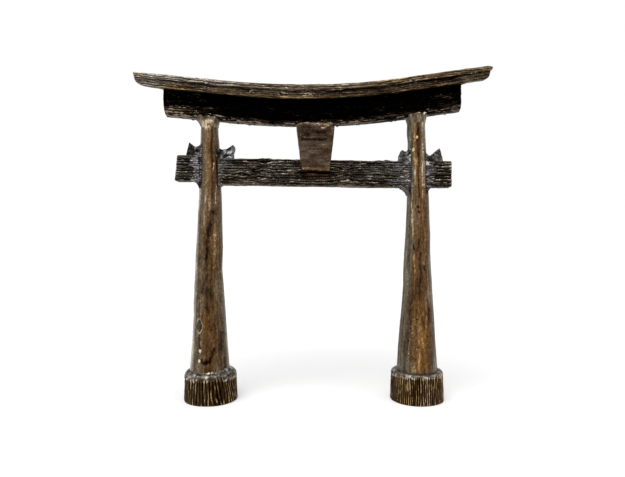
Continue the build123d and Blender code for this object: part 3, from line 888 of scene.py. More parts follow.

# Marks on the front of each post: a line's half width, its depth, and what it adds
# to the level and to the gold, which turns it grey where it is below 0; then the places that the
# line runs through, each its distance right of the axis and its height.
# Most marks are streaks, patches, dents and the scar's rim in the patina. A few are painted light:
# highlights at the left post's crossing and neck and on the right post under its neck, grey painted
# reflections up the sides of the right neck, and painted shade in the slot beside the left post's
# bead.
POST_MARKS = {
    LEFT: (
        (0.35, 0.08, -0.36, 0, (1.25, 84), (1.25, 77), (1.5, 73)),
        (0.45, 0.04, -0.2, 0, (1.5, 73), (1.65, 64), (1.65, 58)),
        (0.85, 0.1, -0.44, 0, (1.4, 57.5), (1.0, 53.7), (0.3, 50.9), (-0.1, 48), (-0.1, 44)),
        (2.4, 0, 0.07, -0.2, (0.0, 63), (0.0, 32)),
        (0.6, 0.06, -0.28, 0, (-0.1, 44), (0.0, 42), (0.3, 40)),
        (1.1, 0, -0.16, 0, (0.5, 37), (0.4, 33), (0.6, 28)),
        (0.45, 0.05, -0.12, -0.8, (-2.0, 72.5), (-2.05, 66)),
        (0.5, 0.06, -0.25, 0, (0.2, 38.5), (-0.6, 36.5), (-1.4, 33.4)),
        (0.8, 0.03, -0.25, 0, (0.75, 34), (0.75, 32)),
        (0.8, 0.05, -0.2, 0.1, (1.1, 24), (1.15, 22)),
        (0.8, -0.04, 0.2, 0.1, (2.3, 56), (2.4, 41)),
        (0.14, 0, 0.4, 0.2, (2.5, 66), (2.55, 60)),
        (0.6, 0, 0.13, 0.15, (0.2, 66), (-0.3, 61), (-0.8, 55), (-1.2, 46), (-1.6, 38)),
        # painted highlights: at the crossing, down the neck, and a patch and a spot on the neck
        (0.7, 0, 0.16, 0.3, (0.3, 74), (0.2, 67)),
        (0.5, 0, 0.16, 0.25, (-0.3, 83.5), (-0.2, 75)),
        (1.2, 0, 0.24, -0.2, (-0.7, 85.4), (0.1, 84.2)),
        (0.42, -0.05, 0.8, 0.2, (-0.5, 84.2), (-0.5, 83.5)),
        # painted shade in the slot between the bead and the post
        (0.14, 0.12, -0.6, 0, (-2.1, 75), (-2.1, 67)),
        (0.18, -0.1, 0.5, 0, (1.75, 72.5), (1.7, 70)),
        (0.15, 0.05, 0.25, 0, (-1.8, 16), (-1.95, 10.2)),
        (0.35, 0, -0.25, 0, (-1.9, 19.5), (-1.8, 17.3)),
        (0.3, 0, -0.2, 0, (-2.1, 29.5), (-2.1, 26)),
        (0.36, -0.1, 1.3, -0.4, (-1.76, 15.9), (-1.76, 15.7)),
        (0.34, -0.1, 1.3, -0.4, (-2.06, 13.0), (-2.06, 12.8)),
        (0.35, 0.05, -0.4, 0, (-1.7, 16.6), (-1.6, 16.5)),
        (
            0.58, 0.06, -0.42, 0.2,
            (-1.8, 13.2), (-0.9, 12.5), (-0.1, 12.3), (0.8, 12.6), (1.5, 13.6), (2.6, 16.3),
        ),
        (0.55, 0.05, -0.25, 0, (-1.1, 12.4), (-0.1, 12.2), (0.7, 12.6)),
        (0.5, 0.05, -0.28, 0, (4.3, 21), (4.5, 18), (4.4, 16)),
        (2.2, 0, -0.13, 0.4, (0.3, 32), (0.2, 11)),
        (2.0, 0, 0.1, -0.15, (0.0, 84), (0.0, 62)),
    ),
    RIGHT: (
        (0.45, 0, 0.34, 0.4, (-1.2, 87), (-1.2, 76), (-1.0, 70), (-0.9, 66)),
        (0.55, 0.08, -0.4, 0, (0.0, 86.5), (-0.1, 75)),
        (0.25, -0.08, 0.6, 0, (-1.7, 87.6), (-1.5, 87.5)),
        (0.25, -0.08, 0.6, 0, (0.6, 88.0), (0.7, 87.9)),
        (0.25, -0.08, 0.6, 0, (1.5, 87.3), (1.7, 86.9)),
        # painted reflections: grey bands up the sides of the neck
        (0.75, 0, 0.2, -0.9, (1.2, 88), (1.35, 66)),
        (0.55, 0, 0.22, -0.7, (-2.2, 88), (-2.3, 74)),
        (2.2, 0, 0.03, -0.25, (0.0, 64), (0.0, 48)),
        (2.5, 0, 0.08, -0.6, (0.0, 89), (0.0, 85)),
        # painted highlights: two bright spots under the neck
        (0.3, -0.08, 1.4, -0.4, (-0.4, 80.4), (-0.4, 80.3)),
        (0.4, -0.05, 0.9, 0, (-1.5, 76.6), (-1.5, 76.5)),
        (0.3, 0.06, -0.3, 0, (0.0, 74), (-0.15, 68), (0.1, 62)),
        (0.55, 0.03, -0.1, -0.7, (-1.5, 72), (-1.4, 67)),
        (0.18, 0, 0.25, 0.3, (1.1, 71), (1.1, 62)),
        (0.3, 0, 0.5, 0, (-1.85, 66.3), (-1.8, 65.5)),
        (0.17, 0, 0.42, 1.2, (-1.9, 64.5), (-1.9, 50)),
        (0.18, 0, 0.35, 0.9, (-1.6, 44.8), (-1.4, 38), (-1.5, 32.5)),
        (0.25, 0, 0.25, 0.2, (1.2, 64), (1.2, 54.5), (1.9, 50), (1.9, 44.5)),
        (0.32, 0.15, -0.6, 0, (-0.15, 59.2), (-0.15, 59)),
        (0.28, 0.15, -0.5, 0, (0.0, 57.6), (0.0, 57.4)),
        (0.22, 0.1, -0.5, 0, (-1.55, 47.6), (-1.5, 46)),
        (0.3, 0.12, -0.5, 0, (1.4, 41), (1.45, 40)),
        (0.3, 0.05, -0.25, 0.3, (0.0, 50), (0.3, 38), (-0.2, 31)),
        (0.45, 0.05, -0.28, 0, (1.0, 25.5), (1.1, 22.5)),
        (0.6, 0.04, -0.28, 0, (2.9, 28), (3.0, 24.5)),
        (0.13, 0.1, -0.5, 0, (-1.1, 25.3), (-0.6, 25.2)),
        (0.13, 0.1, -0.5, 0, (1.7, 20.3), (2.3, 20.1)),
        (0.13, 0.1, -0.4, 0, (-2.9, 19.7), (-2.4, 19.5)),
        (0.13, 0.1, -0.4, 0, (-0.8, 16.9), (-0.3, 16.9)),
        (0.15, 0, 0.35, 0.3, (-2.9, 20), (-3.5, 14.7)),
        (0.15, 0, 0.35, 0.3, (-0.4, 15.4), (-0.4, 11.3)),
        (0.5, 0.05, -0.25, 0.1, (-2.2, 13.8), (-1.6, 13.2)),
        (0.8, 0.02, -0.15, 0, (3.2, 14), (3.4, 11)),
        (1.6, 0, 0.06, -0.5, (-4.0, 13), (-4.0, 9.5)),
        (1.4, 0, 0.06, -0.5, (4.2, 13), (4.2, 9.5)),
        (1.9, 0, 0.07, 0.5, (0.2, 30), (0.1, 11)),
        (2.2, 0, -0.03, -0.25, (0.0, 45), (0.0, 33)),
    ),
}
SCAR = (-2.2, 23.1, 0.95, 2.05)  # right of the left post's axis, height, half width, half height
# Painted reflections on each post: long bands down it, grey where the bright surroundings are
# reflected at its sides and darker where a dark room is reflected. Each is its degrees to the
# right of the front, half width in degrees, and what it adds to the level, to the cool and to the
# gold.
POST_REFLECTION_BANDS = {
    LEFT: (
        (-66, 22, 0.26, 0.8, -0.3),
        (-42, 6, -0.1, 0.0, 0.0),
        (-25, 14, 0.03, 0.1, 0.0),
        (8, 20, -0.02, -0.4, 0.15),
        (50, 16, 0.0, 0.15, -0.05),
        (80, 14, 0.05, 0.8, -0.2),
        (140, 30, 0.0, 0.3, 0.0),
    ),
    RIGHT: (
        (-64, 26, -0.02, 0.6, -0.25),
        (-42, 7, -0.12, 0.2, 0.0),
        (-22, 8, 0.03, -0.2, 0.15),
        (5, 18, 0.0, -0.5, 0.3),
        (38, 10, -0.02, 0.0, 0.0),
        (66, 20, 0.04, 0.75, -0.3),
        (140, 30, 0.0, 0.3, 0.0),
    ),
}
POST_COOL = {LEFT: 0.22, RIGHT: 0.05}
POST_RINGS, POST_AROUND = 290, 144
# How far each post runs into its drum and into the lintel.
SUNK_FOOT, SUNK_HEAD = 0.3, 0.8
NECK_LENGTH = 3.0  # how far down each post the rough casting of its neck reaches


def post_axis(side):
    low, high = cad_box(f"{SIDE_NAMES[side]}_post")
    return (low[0] + high[0]) / 2


def post_radius(side, z):
    """Radius of a post at a height: a straight taper over a hollow flare."""
    low, high = cad_box(f"{SIDE_NAMES[side]}_post")
    base_radius = (high[0] - low[0]) / 2
    head = curve_z(post_axis(side), LINTEL_BOTTOM)
    taper = (POST_WAIST_RADIUS - POST_TOP_RADIUS) / (head - POST_WAIST_Z)
    drop = POST_WAIST_Z - z
    whole_drop = POST_WAIST_Z - low[2]
    flare = (base_radius - POST_WAIST_RADIUS - taper * whole_drop) / whole_drop**2
    return POST_WAIST_RADIUS + taper * drop + flare * np.maximum(drop, 0) ** 2


def post_drift(side, z):
    """A post's shift to the right and its extra radius at a height."""
    at, shift, extra = zip(*POST_DRIFT[side])
    return np.interp(z, at, shift), np.interp(z, at, extra)


def flat_rings(edge, shares):
    """Profile points at some shares of an edge's radius, at its height."""
    radius, height = edge
    return [(share * radius, height) for share in shares]


def turned(axis_x, profile, around):
    """Rings of a round piece about an upright axis, with its angles. The profile is radius and
    height pairs from the foot up, and angle 0 faces the front and turns to the right."""
    angle = np.linspace(0, 2 * math.pi, around, endpoint=False)[None, :]
    radius, height = (np.asarray(column)[:, None] for column in zip(*profile))
    x, y = axis_x + radius * np.sin(angle), -radius * np.cos(angle)
    rings = np.stack([x, y, height + 0 * angle], axis=-1)
    return rings, (angle + math.pi) % (2 * math.pi) - math.pi + 0 * height


def build_post(side):
    node = f"{SIDE_NAMES[side]}_post"
    axis_x = post_axis(side)
    foot_z = cad_box(node)[0][2] - SUNK_FOOT
    head_z = curve_z(axis_x, LINTEL_BOTTOM) + SUNK_HEAD
    heights = np.linspace(foot_z, head_z, POST_RINGS)
    wall = [(post_radius(side, z) + post_drift(side, z)[1], z) for z in heights]
    foot = flat_rings(wall[0], (0.1, 0.5, 0.8))
    head = flat_rings(wall[-1], (0.8, 0.5, 0.1))
    rings, angle = turned(axis_x, foot + wall + head, POST_AROUND)
    seed = 110 + side
    z = rings[..., 2]
    rings[..., 0] += post_drift(side, z)[0]
    facing = smooth(np.cos(angle), 0.0, 0.3)
    beside = rings[..., 0] - axis_x + 0.2 * noise(rings, (50, 50, 2.5), seed)
    dent, level, gold, cool = 0, 0, 0, 0
    ragged = cloud(rings, (0.5, 0.5, 0.9), seed + 4, 2)
    faded = 0.85 + 0.3 * cloud(rings, (0.8, 0.8, 2.5), seed + 11, 2)
    for wide, depth, brighter, gilt, *path in POST_MARKS[side]:
        mark = hump(from_line(beside, z, path) + 0.35 * wide * ragged, wide) * facing * faded
        dent = dent + depth * mark
        level = level + brighter * mark
        gold = gold + gilt * mark
        cool = cool - min(gilt, 0) * mark
    # Painted reflections: the long bands laid round the post.
    bent = np.degrees(angle) + 9 * noise(rings, (50, 50, 6), seed + 9)
    for degrees, wide, brighter, greyer, gilt in POST_REFLECTION_BANDS[side]:
        band = hump((bent - degrees + 180) % 360 - 180, wide)
        level = level + brighter * band
        cool = cool + greyer * band
        gold = gold + gilt * band
    scar, scar_rim = 0, 0
    if side == LEFT:
        scar_x, scar_z, wide, high = SCAR
        right = rings[..., 0] - axis_x - scar_x
        from_scar = np.abs(right) / wide + ((z - scar_z) / high) ** 2 + 0.15 * ragged
        scar = (1 - smooth(from_scar, 0.75, 1.1)) * facing
        scar_rim = hump(from_scar - 1.2, 0.2) * smooth(right, -0.9, 0.4) * facing * faded
    facets = 0.04 * np.cos(9 * angle + 1.5 * noise(rings, (50, 50, 16), seed + 1))
    swell = 0.1 * cloud(rings, (6, 6, 9), seed + 2, 2)
    streaks = cloud(rings, (0.6, 0.6, 12), seed + 3, 3)
    hole = pits(rings, 0.45, seed + 7, 0.2)
    fine = cloud(rings, (0.4, 0.4, 0.7), seed + 10, 2)
    neck = smooth(z, head_z - NECK_LENGTH, head_z - 0.5 * NECK_LENGTH)
    rough = neck * cloud(rings, (0.8, 0.8, 1.1), seed + 12, 3)
    height = facets + swell + 0.05 * streaks - dent - 0.06 * hole + 0.02 * fine + 0.08 * rough
    rings = raised(rings, height - 0.3 * scar + 0.1 * scar_rim)
    patina = cloud(rings, (2.2, 2.2, 7), seed + 8, 3)
    add_piece(
        node, rings, POST_BRONZE,
        level=0.5 + 0.08 * streaks + 0.08 * patina + 0.1 * fine - 0.25 * hole + level
        - 0.2 * scar + 0.35 * scar_rim + 0.25 * rough,
        cool=POST_COOL[side] + 0.15 * patina + cool + 0.4 * scar + 0.5 * neck,
        gold=-0.15 + 0.15 * streaks + gold - 0.5 * scar,
    )


# ---------------------------------------------------------------- feet

# Each drum's grooves, the width and height of its worn shoulder, how far the grooves on its
# right lean, in grooves per millimetre, how unbroken the ridges between them are, and its level.
DRUMS = {LEFT: (56, 1.25, 1.8, 0.22, 0.0, 0.33), RIGHT: (78, 0.85, 0.95, 0.0, 0.15, 0.37)}
DRUM_TAPER = 0.3  # how much smaller a drum's radius is at its top
DRUM_CHAMFER = 0.15  # round its underside
DRUM_AROUND = 560


def build_foot(side):
    node = f"{SIDE_NAMES[side]}_foot"
    low, high = cad_box(node)
    axis_x = (low[0] + high[0]) / 2
    radius, top = (high[0] - low[0]) / 2, high[2]
    grooves, worn, drop, lean, whole, level = DRUMS[side]
    top_radius = radius - DRUM_TAPER
    turn = np.linspace(0, math.pi / 2, 9)
    under = flat_rings((radius - DRUM_CHAMFER, 0), np.linspace(0.03, 0.99, 5))
    heights = np.linspace(DRUM_CHAMFER, top - drop, 40)
    wall = [(radius + (top_radius - radius) * z / top, z) for z in heights]
    edge = [
        (top_radius - worn * (1 - math.cos(a)), top - drop * (1 - math.sin(a))) for a in turn[1:]
    ]
    lid = flat_rings((top_radius - worn, top), np.linspace(0.97, 0.03, 6))
    rings, angle = turned(axis_x, under + wall + edge + lid, DRUM_AROUND)
    seed = 130 + side
    z = rings[..., 2]
    bent = rings * np.array([1, 1, 0.25])
    leaning = lean * (z - top) * smooth(angle, -0.2, 0.7)
    phase = grooves * angle / (2 * math.pi) + leaning + 0.4 * cloud(bent, (2.2, 2.2, 1.4), seed, 3)
    strength = cloud(rings, (1.0, 1.0, 3.5), seed + 1, 2)
    strength = np.clip(0.8 + (0.5 - 0.5 * whole) * strength, 0.15, 1)
    on_wall = smooth(-outward(rings)[..., 2] + 1, 0.15, 0.8) * smooth(z, 0.0, 0.1)
    bark = furrows(phase, 1.3) * strength * on_wall
    broken = smooth(cloud(rings, (0.5, 0.5, 1.8), seed + 6, 2) + whole, -0.3, 0.6)
    crest = crests(phase + 0.1 * noise(rings, (0.8, 0.8, 3), seed + 7), 10) * on_wall * broken
    ragged = 0.4 * cloud(rings, (0.8, 0.8, 0.6), seed + 2, 2)
    over_rim = z - top + drop * 0.85 + ragged
    rim = hump(over_rim + 0.15, 0.35) * (0.7 + 0.6 * cloud(rings, (0.8, 0.8, 0.8), seed + 9, 2))
    shoulder = smooth(over_rim, -0.1, 0.25)
    bark, crest = bark * (1 - 0.8 * shoulder), crest * (1 - shoulder)
    # Painted highlights: white glints along the drum's worn rim.
    rim_glints = rim * smooth(cloud(rings, 0.6, seed + 8, 2), 0.1, 0.6)
    height = 0.05 - 0.36 * bark + 0.1 * cloud(rings, (5, 5, 4), seed + 3, 2) + 0.12 * rim
    height = height + 0.05 * cloud(rings, 0.5, seed + 4, 2) + 0.08 * shoulder
    rings = raised(rings, height)
    rings[..., 2] = np.maximum(rings[..., 2], 0)
    add_piece(
        node, rings, BARK_BRONZE,
        level=level - 0.45 * bark + 0.5 * crest + 0.28 * rim + 0.6 * rim_glints
        + 0.1 * cloud(rings, (3, 3, 6), seed + 5)
        + (0.05 + 0.3 * cloud(rings, (0.9, 0.9, 0.5), seed + 10, 3)) * shoulder,
        cool=-0.3 + 1.0 * shoulder + 0.4 * rim + 0.8 * rim_glints,
        gold=0.1 - 0.4 * shoulder,
    )


# The fused ring on each drum: its crown's height over the drum on the left and on the right of
# the post, and how far inside the drum's edge it ends.
COLLARS = {LEFT: (0.4, 1.6, 0.6), RIGHT: (0.25, 0.9, 0.7)}
COLLAR_BULGE = 0.35
COLLAR_AROUND = 260


def build_foot_bead(side):
    node = f"{SIDE_NAMES[side]}_foot_bead"
    low, high = cad_box(node)
    axis_x = (low[0] + high[0]) / 2
    top = low[2]
    left_crown, right_crown, margin = COLLARS[side]
    drum_radius = cad_box(f"{SIDE_NAMES[side]}_foot")[1][0] - axis_x
    rim = drum_radius - DRUM_TAPER - margin - COLLAR_BULGE
    inside_post = post_radius(side, top + 1.5) - 0.6
    under = flat_rings((rim, 0.0), np.linspace(0.5, 0.95, 3))
    skirt = [(rim + share * (inside_post - rim), share) for share in np.linspace(0, 1, 24)]
    over = flat_rings(skirt[-1], (0.8, 0.4, 0.05))
    rings, angle = turned(axis_x, under + skirt + over, COLLAR_AROUND)
    rightwards = (1 + np.sin(angle)) / 2
    crown = left_crown + (right_crown - left_crown) * rightwards
    share = rings[..., 2]
    rings[..., 2] = top - SUNK_FOOT + share**1.3 * (crown + 0.7)
    seed = 150 + side
    lumps = cloud(rings, (1.5, 1.5, 1.0), seed, 3)
    fine = cloud(rings, 0.4, seed + 1, 2)
    bulge = hump(share - 0.35, 0.3)
    rings = raised(rings, 0.1 * lumps + 0.04 * fine + COLLAR_BULGE * bulge)
    rings[..., 2] = np.maximum(rings[..., 2], top - 0.4)
    # Painted highlights on the tops of the lumps along its bulge.
    add_piece(
        node, rings, BEAD_BRONZE,
        level=0.54 + 0.25 * lumps + 0.25 * fine + 0.4 * smooth(lumps, 0.25, 0.8) * bulge,
        cool=0.45,
        gold=-0.3,
    )


# ---------------------------------------------------------------- necks

# How far each neck flares out under the lintel, on its left and on its right, and its cool.
NECKS = {LEFT: (4.2, 0.9, 0.15), RIGHT: (1.4, 1.5, 0.35)}
NECK_GROWTH = 0.9  # how much further down than the CAD's it reaches
NECK_RINGS, NECK_AROUND = 40, 170


def build_neck_bead(side):
    node = f"{SIDE_NAMES[side]}_neck_bead"
    left_flare, right_flare, cool = NECKS[side]
    foot = cad_box(node)[0][2] - NECK_GROWTH
    axis_x = post_axis(side)
    share = np.linspace(0, 1, NECK_RINGS)[:, None]
    angle = np.linspace(0, 2 * math.pi, NECK_AROUND, endpoint=False)[None, :]
    rightwards = (1 + np.sin(angle)) / 2
    flare = left_flare + (right_flare - left_flare) * rightwards
    curl = 1 - np.sqrt(1 - share**1.9)
    shift, extra = post_drift(side, foot)
    wall = post_radius(side, foot) + extra - 0.12 + 0.2 * smooth(share, 0, 0.3)
    x = axis_x + shift + (wall + flare * curl) * np.sin(angle)
    y = -(wall + 0.3 * curl) * np.cos(angle)
    seat = curve_z(x, LINTEL_BOTTOM) + 0.25
    wall = np.stack([x, y, foot + (seat - foot) * share], axis=-1)
    centre = wall.mean(axis=1, keepdims=True)
    shrunk = np.array([0.1, 0.5, 0.9])[:, None, None]
    foot_lid = centre[0] + (wall[0] - centre[0]) * shrunk
    head_lid = centre[-1] + (wall[-1] - centre[-1]) * shrunk[::-1]
    rings = np.concatenate([foot_lid, wall, head_lid])
    seed = 170 + side
    lumps = cloud(rings, (0.9, 0.9, 1.4), seed, 3)
    rings = raised(rings, 0.08 * lumps)
    # near_lintel makes the top of the neck a little darker, as painted shade under the lintel, and
    # greyer.
    near_lintel = smooth(np.pad(share, ((3, 3), (0, 0)), "edge"), 0.65, 0.95)
    x, z = rings[..., 0] - axis_x, rings[..., 2] - foot
    # The sides, edge, are painted greyer: painted reflections, like the bands on the posts.
    edge = smooth(np.abs(x + 0.3), 1.0, 2.0)
    if side == LEFT:
        glint = 0.32 * hump(x + 0.3, 1.2) * hump(z - 1.3, 0.9)
        glint = glint + 0.6 * hump(x + 0.45, 0.35) * hump(z - 0.4, 0.5)
    else:
        glint = 0.5 * edge * smooth(cloud(rings, 0.5, seed + 1, 2), 0.2, 0.7) * near_lintel
    add_piece(
        node, rings, POST_BRONZE,
        level=0.57 + 0.25 * lumps - 0.12 * near_lintel + glint * (rings[..., 1] < 0),
        cool=cool + 0.5 * edge + 0.3 * near_lintel + 0.15 * lumps,
        gold=-0.05 - 0.3 * edge,
    )


# ---------------------------------------------------------------- crossings

# Each crossing: the post's side, the way it points, the length and the height of the hollow
# under the beam, and the wedge's outline as distances outwards from the post's axis and heights
# over the beam.
CROSSINGS = {
    "left_outer": (
        LEFT, LEFT, 2.7, 2.3, ((2.3, 3.5), (2.9, 2.9), (4.0, 2.6), (5.95, 4.05), (6.85, 0.2)),
    ),
    "left_inner": (
        LEFT, RIGHT, 2.2, 1.6,
        (
            (2.6, 4.1), (3.3, 3.3), (4.3, 2.85), (5.4, 3.0),
            (6.7, 3.75), (7.6, 4.4), (7.9, 3.5), (7.45, 0.2),
        ),
    ),
    "right_inner": (
        RIGHT, LEFT, 4.0, 2.4,
        (
            (2.6, 4.1), (3.2, 3.4), (3.9, 3.15), (4.7, 3.8), (5.2, 2.8), (5.55, 1.9),
            (5.6, 1.0), (5.95, 0.2),
        ),
    ),
    "right_outer": (
        RIGHT, RIGHT, 2.1, 2.2, ((2.6, 2.8), (3.1, 1.95), (3.9, 1.8), (6.8, 4.15), (8.0, 0.2)),
    ),
}
BEAD_START, BEAD_REACH = 1.2, 6.3  # from the post's axis
WEDGE_ROOT = (1.6, -0.6)  # where a wedge's outline starts, inside the post and the beam
WEDGE_AROUND = 150
# What each bead adds to the level of its finish, and its cool.
BEAD_TONES = {
    "left_outer": (0.06, 0.55),
    "left_inner": (-0.06, 0.25),
    "right_inner": (0.02, 0.4),
    "right_outer": (-0.05, 0.5),
}


def crossing_z(name):
    """Height of the middle of the beam at a crossing."""
    side, way = CROSSINGS[name][:2]
    if way == side:
        low, high = cad_box(f"tie_beam_{SIDE_NAMES[side]}_end")
        return (low[2] + high[2]) / 2
    return beam_z(post_axis(side) + way * BEAD_REACH / 2)


def build_beam_bead(name):
    side, way, run, drop, _ = CROSSINGS[name]
    axis_x = post_axis(side)
    middle = crossing_z(name)
    half_depth = cad_box("tie_beam")[1][1]
    bar = Bar(
        BEAD_REACH - BEAD_START, half_depth, BEAM_HALF_HEIGHT,
        rounding=0.5, end_rounding=0.1, step=0.13, pitch=0.14,
    )
    out = BEAD_START + bar.at + 0 * bar.up
    wall = post_radius(side, middle)
    off = np.clip((out - wall) / run, 0, 1)
    hollow = drop * (1 - np.sqrt(1 - (1 - off) ** 2))
    swell = 0.1 * (1 - smooth(out, wall, BEAD_REACH))
    half = BEAM_HALF_HEIGHT + swell + np.where(bar.up < 0, hollow, 0)
    seed = 200 + sum(ord(letter) for letter in name)
    x, z = axis_x + way * out, middle + bar.up * half
    y = bar.across * (half_depth + swell - beside_post(side, x))
    rings = np.stack([x, y, z], axis=-1)
    if way == LEFT:
        rings = rings[:, ::-1]
    rings = wobble(rings, 0.06, (1.6, 1.6, 1.6), seed)
    out = way * (rings[..., 0] - axis_x)
    grain, crest = wood_grain(rings, bar, 0.7, seed + 1, wander=0.25)
    lumps = cloud(rings, (1.3, 0.6, 0.5), seed + 2, 3)
    ragged = out + 1.1 * cloud(rings, (1.3, 0.8, 0.6), seed + 3, 2)
    sink = smooth(ragged, 4.4, 6.0)
    height = 0.05 - 0.16 * grain + 0.05 * lumps - 0.35 * sink
    rings = raised(rings, height)
    # Painted shade: the part of the bead that hangs under the beam is darker; on the inner
    # crossings it is also more golden.
    below = smooth(middle - rings[..., 2], BEAM_HALF_HEIGHT, BEAM_HALF_HEIGHT + 1)
    # Painted shade in the narrow slot beside the left post.
    slot_shade = hump(out - 2.5, 0.2) * (0.6 + 0.4 * noise(rings, 0.8, seed + 4)) * (side == LEFT)
    glint = 0
    if name == "right_outer":
        glint = hump(out - 2.9, 0.6) * hump(rings[..., 2] - middle - 3.3, 0.7)
    brighter, cooler = BEAD_TONES[name]
    add_piece(
        f"{name}_bead", rings, CROSSING_BRONZE,
        level=0.55 - 0.9 * grain + 0.45 * crest + 0.08 * lumps - 0.4 * slot_shade - 0.1 * sink
        - 0.2 * below + 0.5 * glint + brighter,
        cool=cooler + 0.15 * lumps,
        gold=-0.35 + 0.5 * below * (way != side),
    )


# What each wedge adds to the level of its finish, its cool, and how much brighter it is where
# it meets the post.
WEDGE_TONES = {
    "left_outer": (-0.3, 0.1, 0.22),
    "left_inner": (-0.06, 0.5, -0.25),
    "right_inner": (-0.05, 0.2, 0.1),
    "right_outer": (-0.03, 0.2, 0.0),
}


def build_wedge(name):
    side, way, _, _, top_line = CROSSINGS[name]
    node = f"{name}_wedge"
    axis_x = post_axis(side)
    half_depth = cad_box(node)[1][1]
    top = crossing_z(name) + BEAM_HALF_HEIGHT
    reach = top_line[-1][0]
    root_out, root_up = WEDGE_ROOT
    above_root = (root_out, top_line[0][1])
    path = np.array((WEDGE_ROOT, (reach, root_up), *top_line[::-1], above_root, WEDGE_ROOT))
    steps = np.linalg.norm(np.diff(path, axis=0), axis=1)
    run = np.append(0, np.cumsum(steps))
    at = np.linspace(0, run[-1], WEDGE_AROUND, endpoint=False)
    outline = np.stack([np.interp(at, run, path[:, k]) for k in (0, 1)], axis=1)
    for _ in range(2):  # takes the sharpness off its corners
        outline = (np.roll(outline, 1, axis=0) + 2 * outline + np.roll(outline, -1, axis=0)) / 4
    heart = np.array([0.6 * reach, 0.3])
    along, share = stations(2 * half_depth, step=0.18, rounding=0.45, half_size=1.6, cap_rings=8)
    shape = heart + (outline[None] - heart) * share[..., None]
    x, y = axis_x + way * shape[..., 0], (along - half_depth) + 0 * shape[..., 0]
    rings = np.stack([x, y, top + shape[..., 1]], axis=-1)
    if way == RIGHT:
        rings = rings[:, ::-1]
    seed = 300 + sum(ord(letter) for letter in name)
    rings = wobble(rings, 0.08, (2, 2, 2), seed)
    lumps = cloud(rings, (0.9, 0.9, 0.7), seed + 1, 3)
    fine = cloud(rings, 0.35, seed + 2, 2)
    rings = raised(rings, 0.1 * lumps + 0.03 * fine)
    brighter, cooler, by_post = WEDGE_TONES[name]
    fused = 1 - smooth(way * (rings[..., 0] - axis_x), 3.2, 4.6)
    add_piece(
        node, rings, WEDGE_BRONZE,
        level=0.42 + 0.25 * lumps + 0.2 * fine + brighter + by_post * fused,
        cool=cooler + 0.2 * fused,
        gold=-0.3,
    )


# ---------------------------------------------------------------- tablet

TABLET_THICKNESS = 2.4
TABLET_LEAN = math.tan(math.radians(4.5))  # its head leans back
TABLET_TAPER = 8.3 / 11.7  # the foot's width over the head's
TABLET_GROWTH = 0.15  # how far its worn sides stand out
TABLET_SLANT = 0.5  # how much higher the left end of its foot is
TABLET_BEVEL = (0.35, 1.15)  # the width of the bevel on its left edge, at its foot and its head
TABLET_BEVEL_DEPTH = 0.9
TABLET_BEAD_GROWTH = (0, 0.2, 0.1)  # to each side of it, along X, Y and Z
# A line of lumps on its front: right of its axis, and under its head.
TABLET_LUMPS = ((0.3, -0.1), (1.1, 0.5), (2.2, 1.5), (4.0, 0.6), (2.2, 0.7))


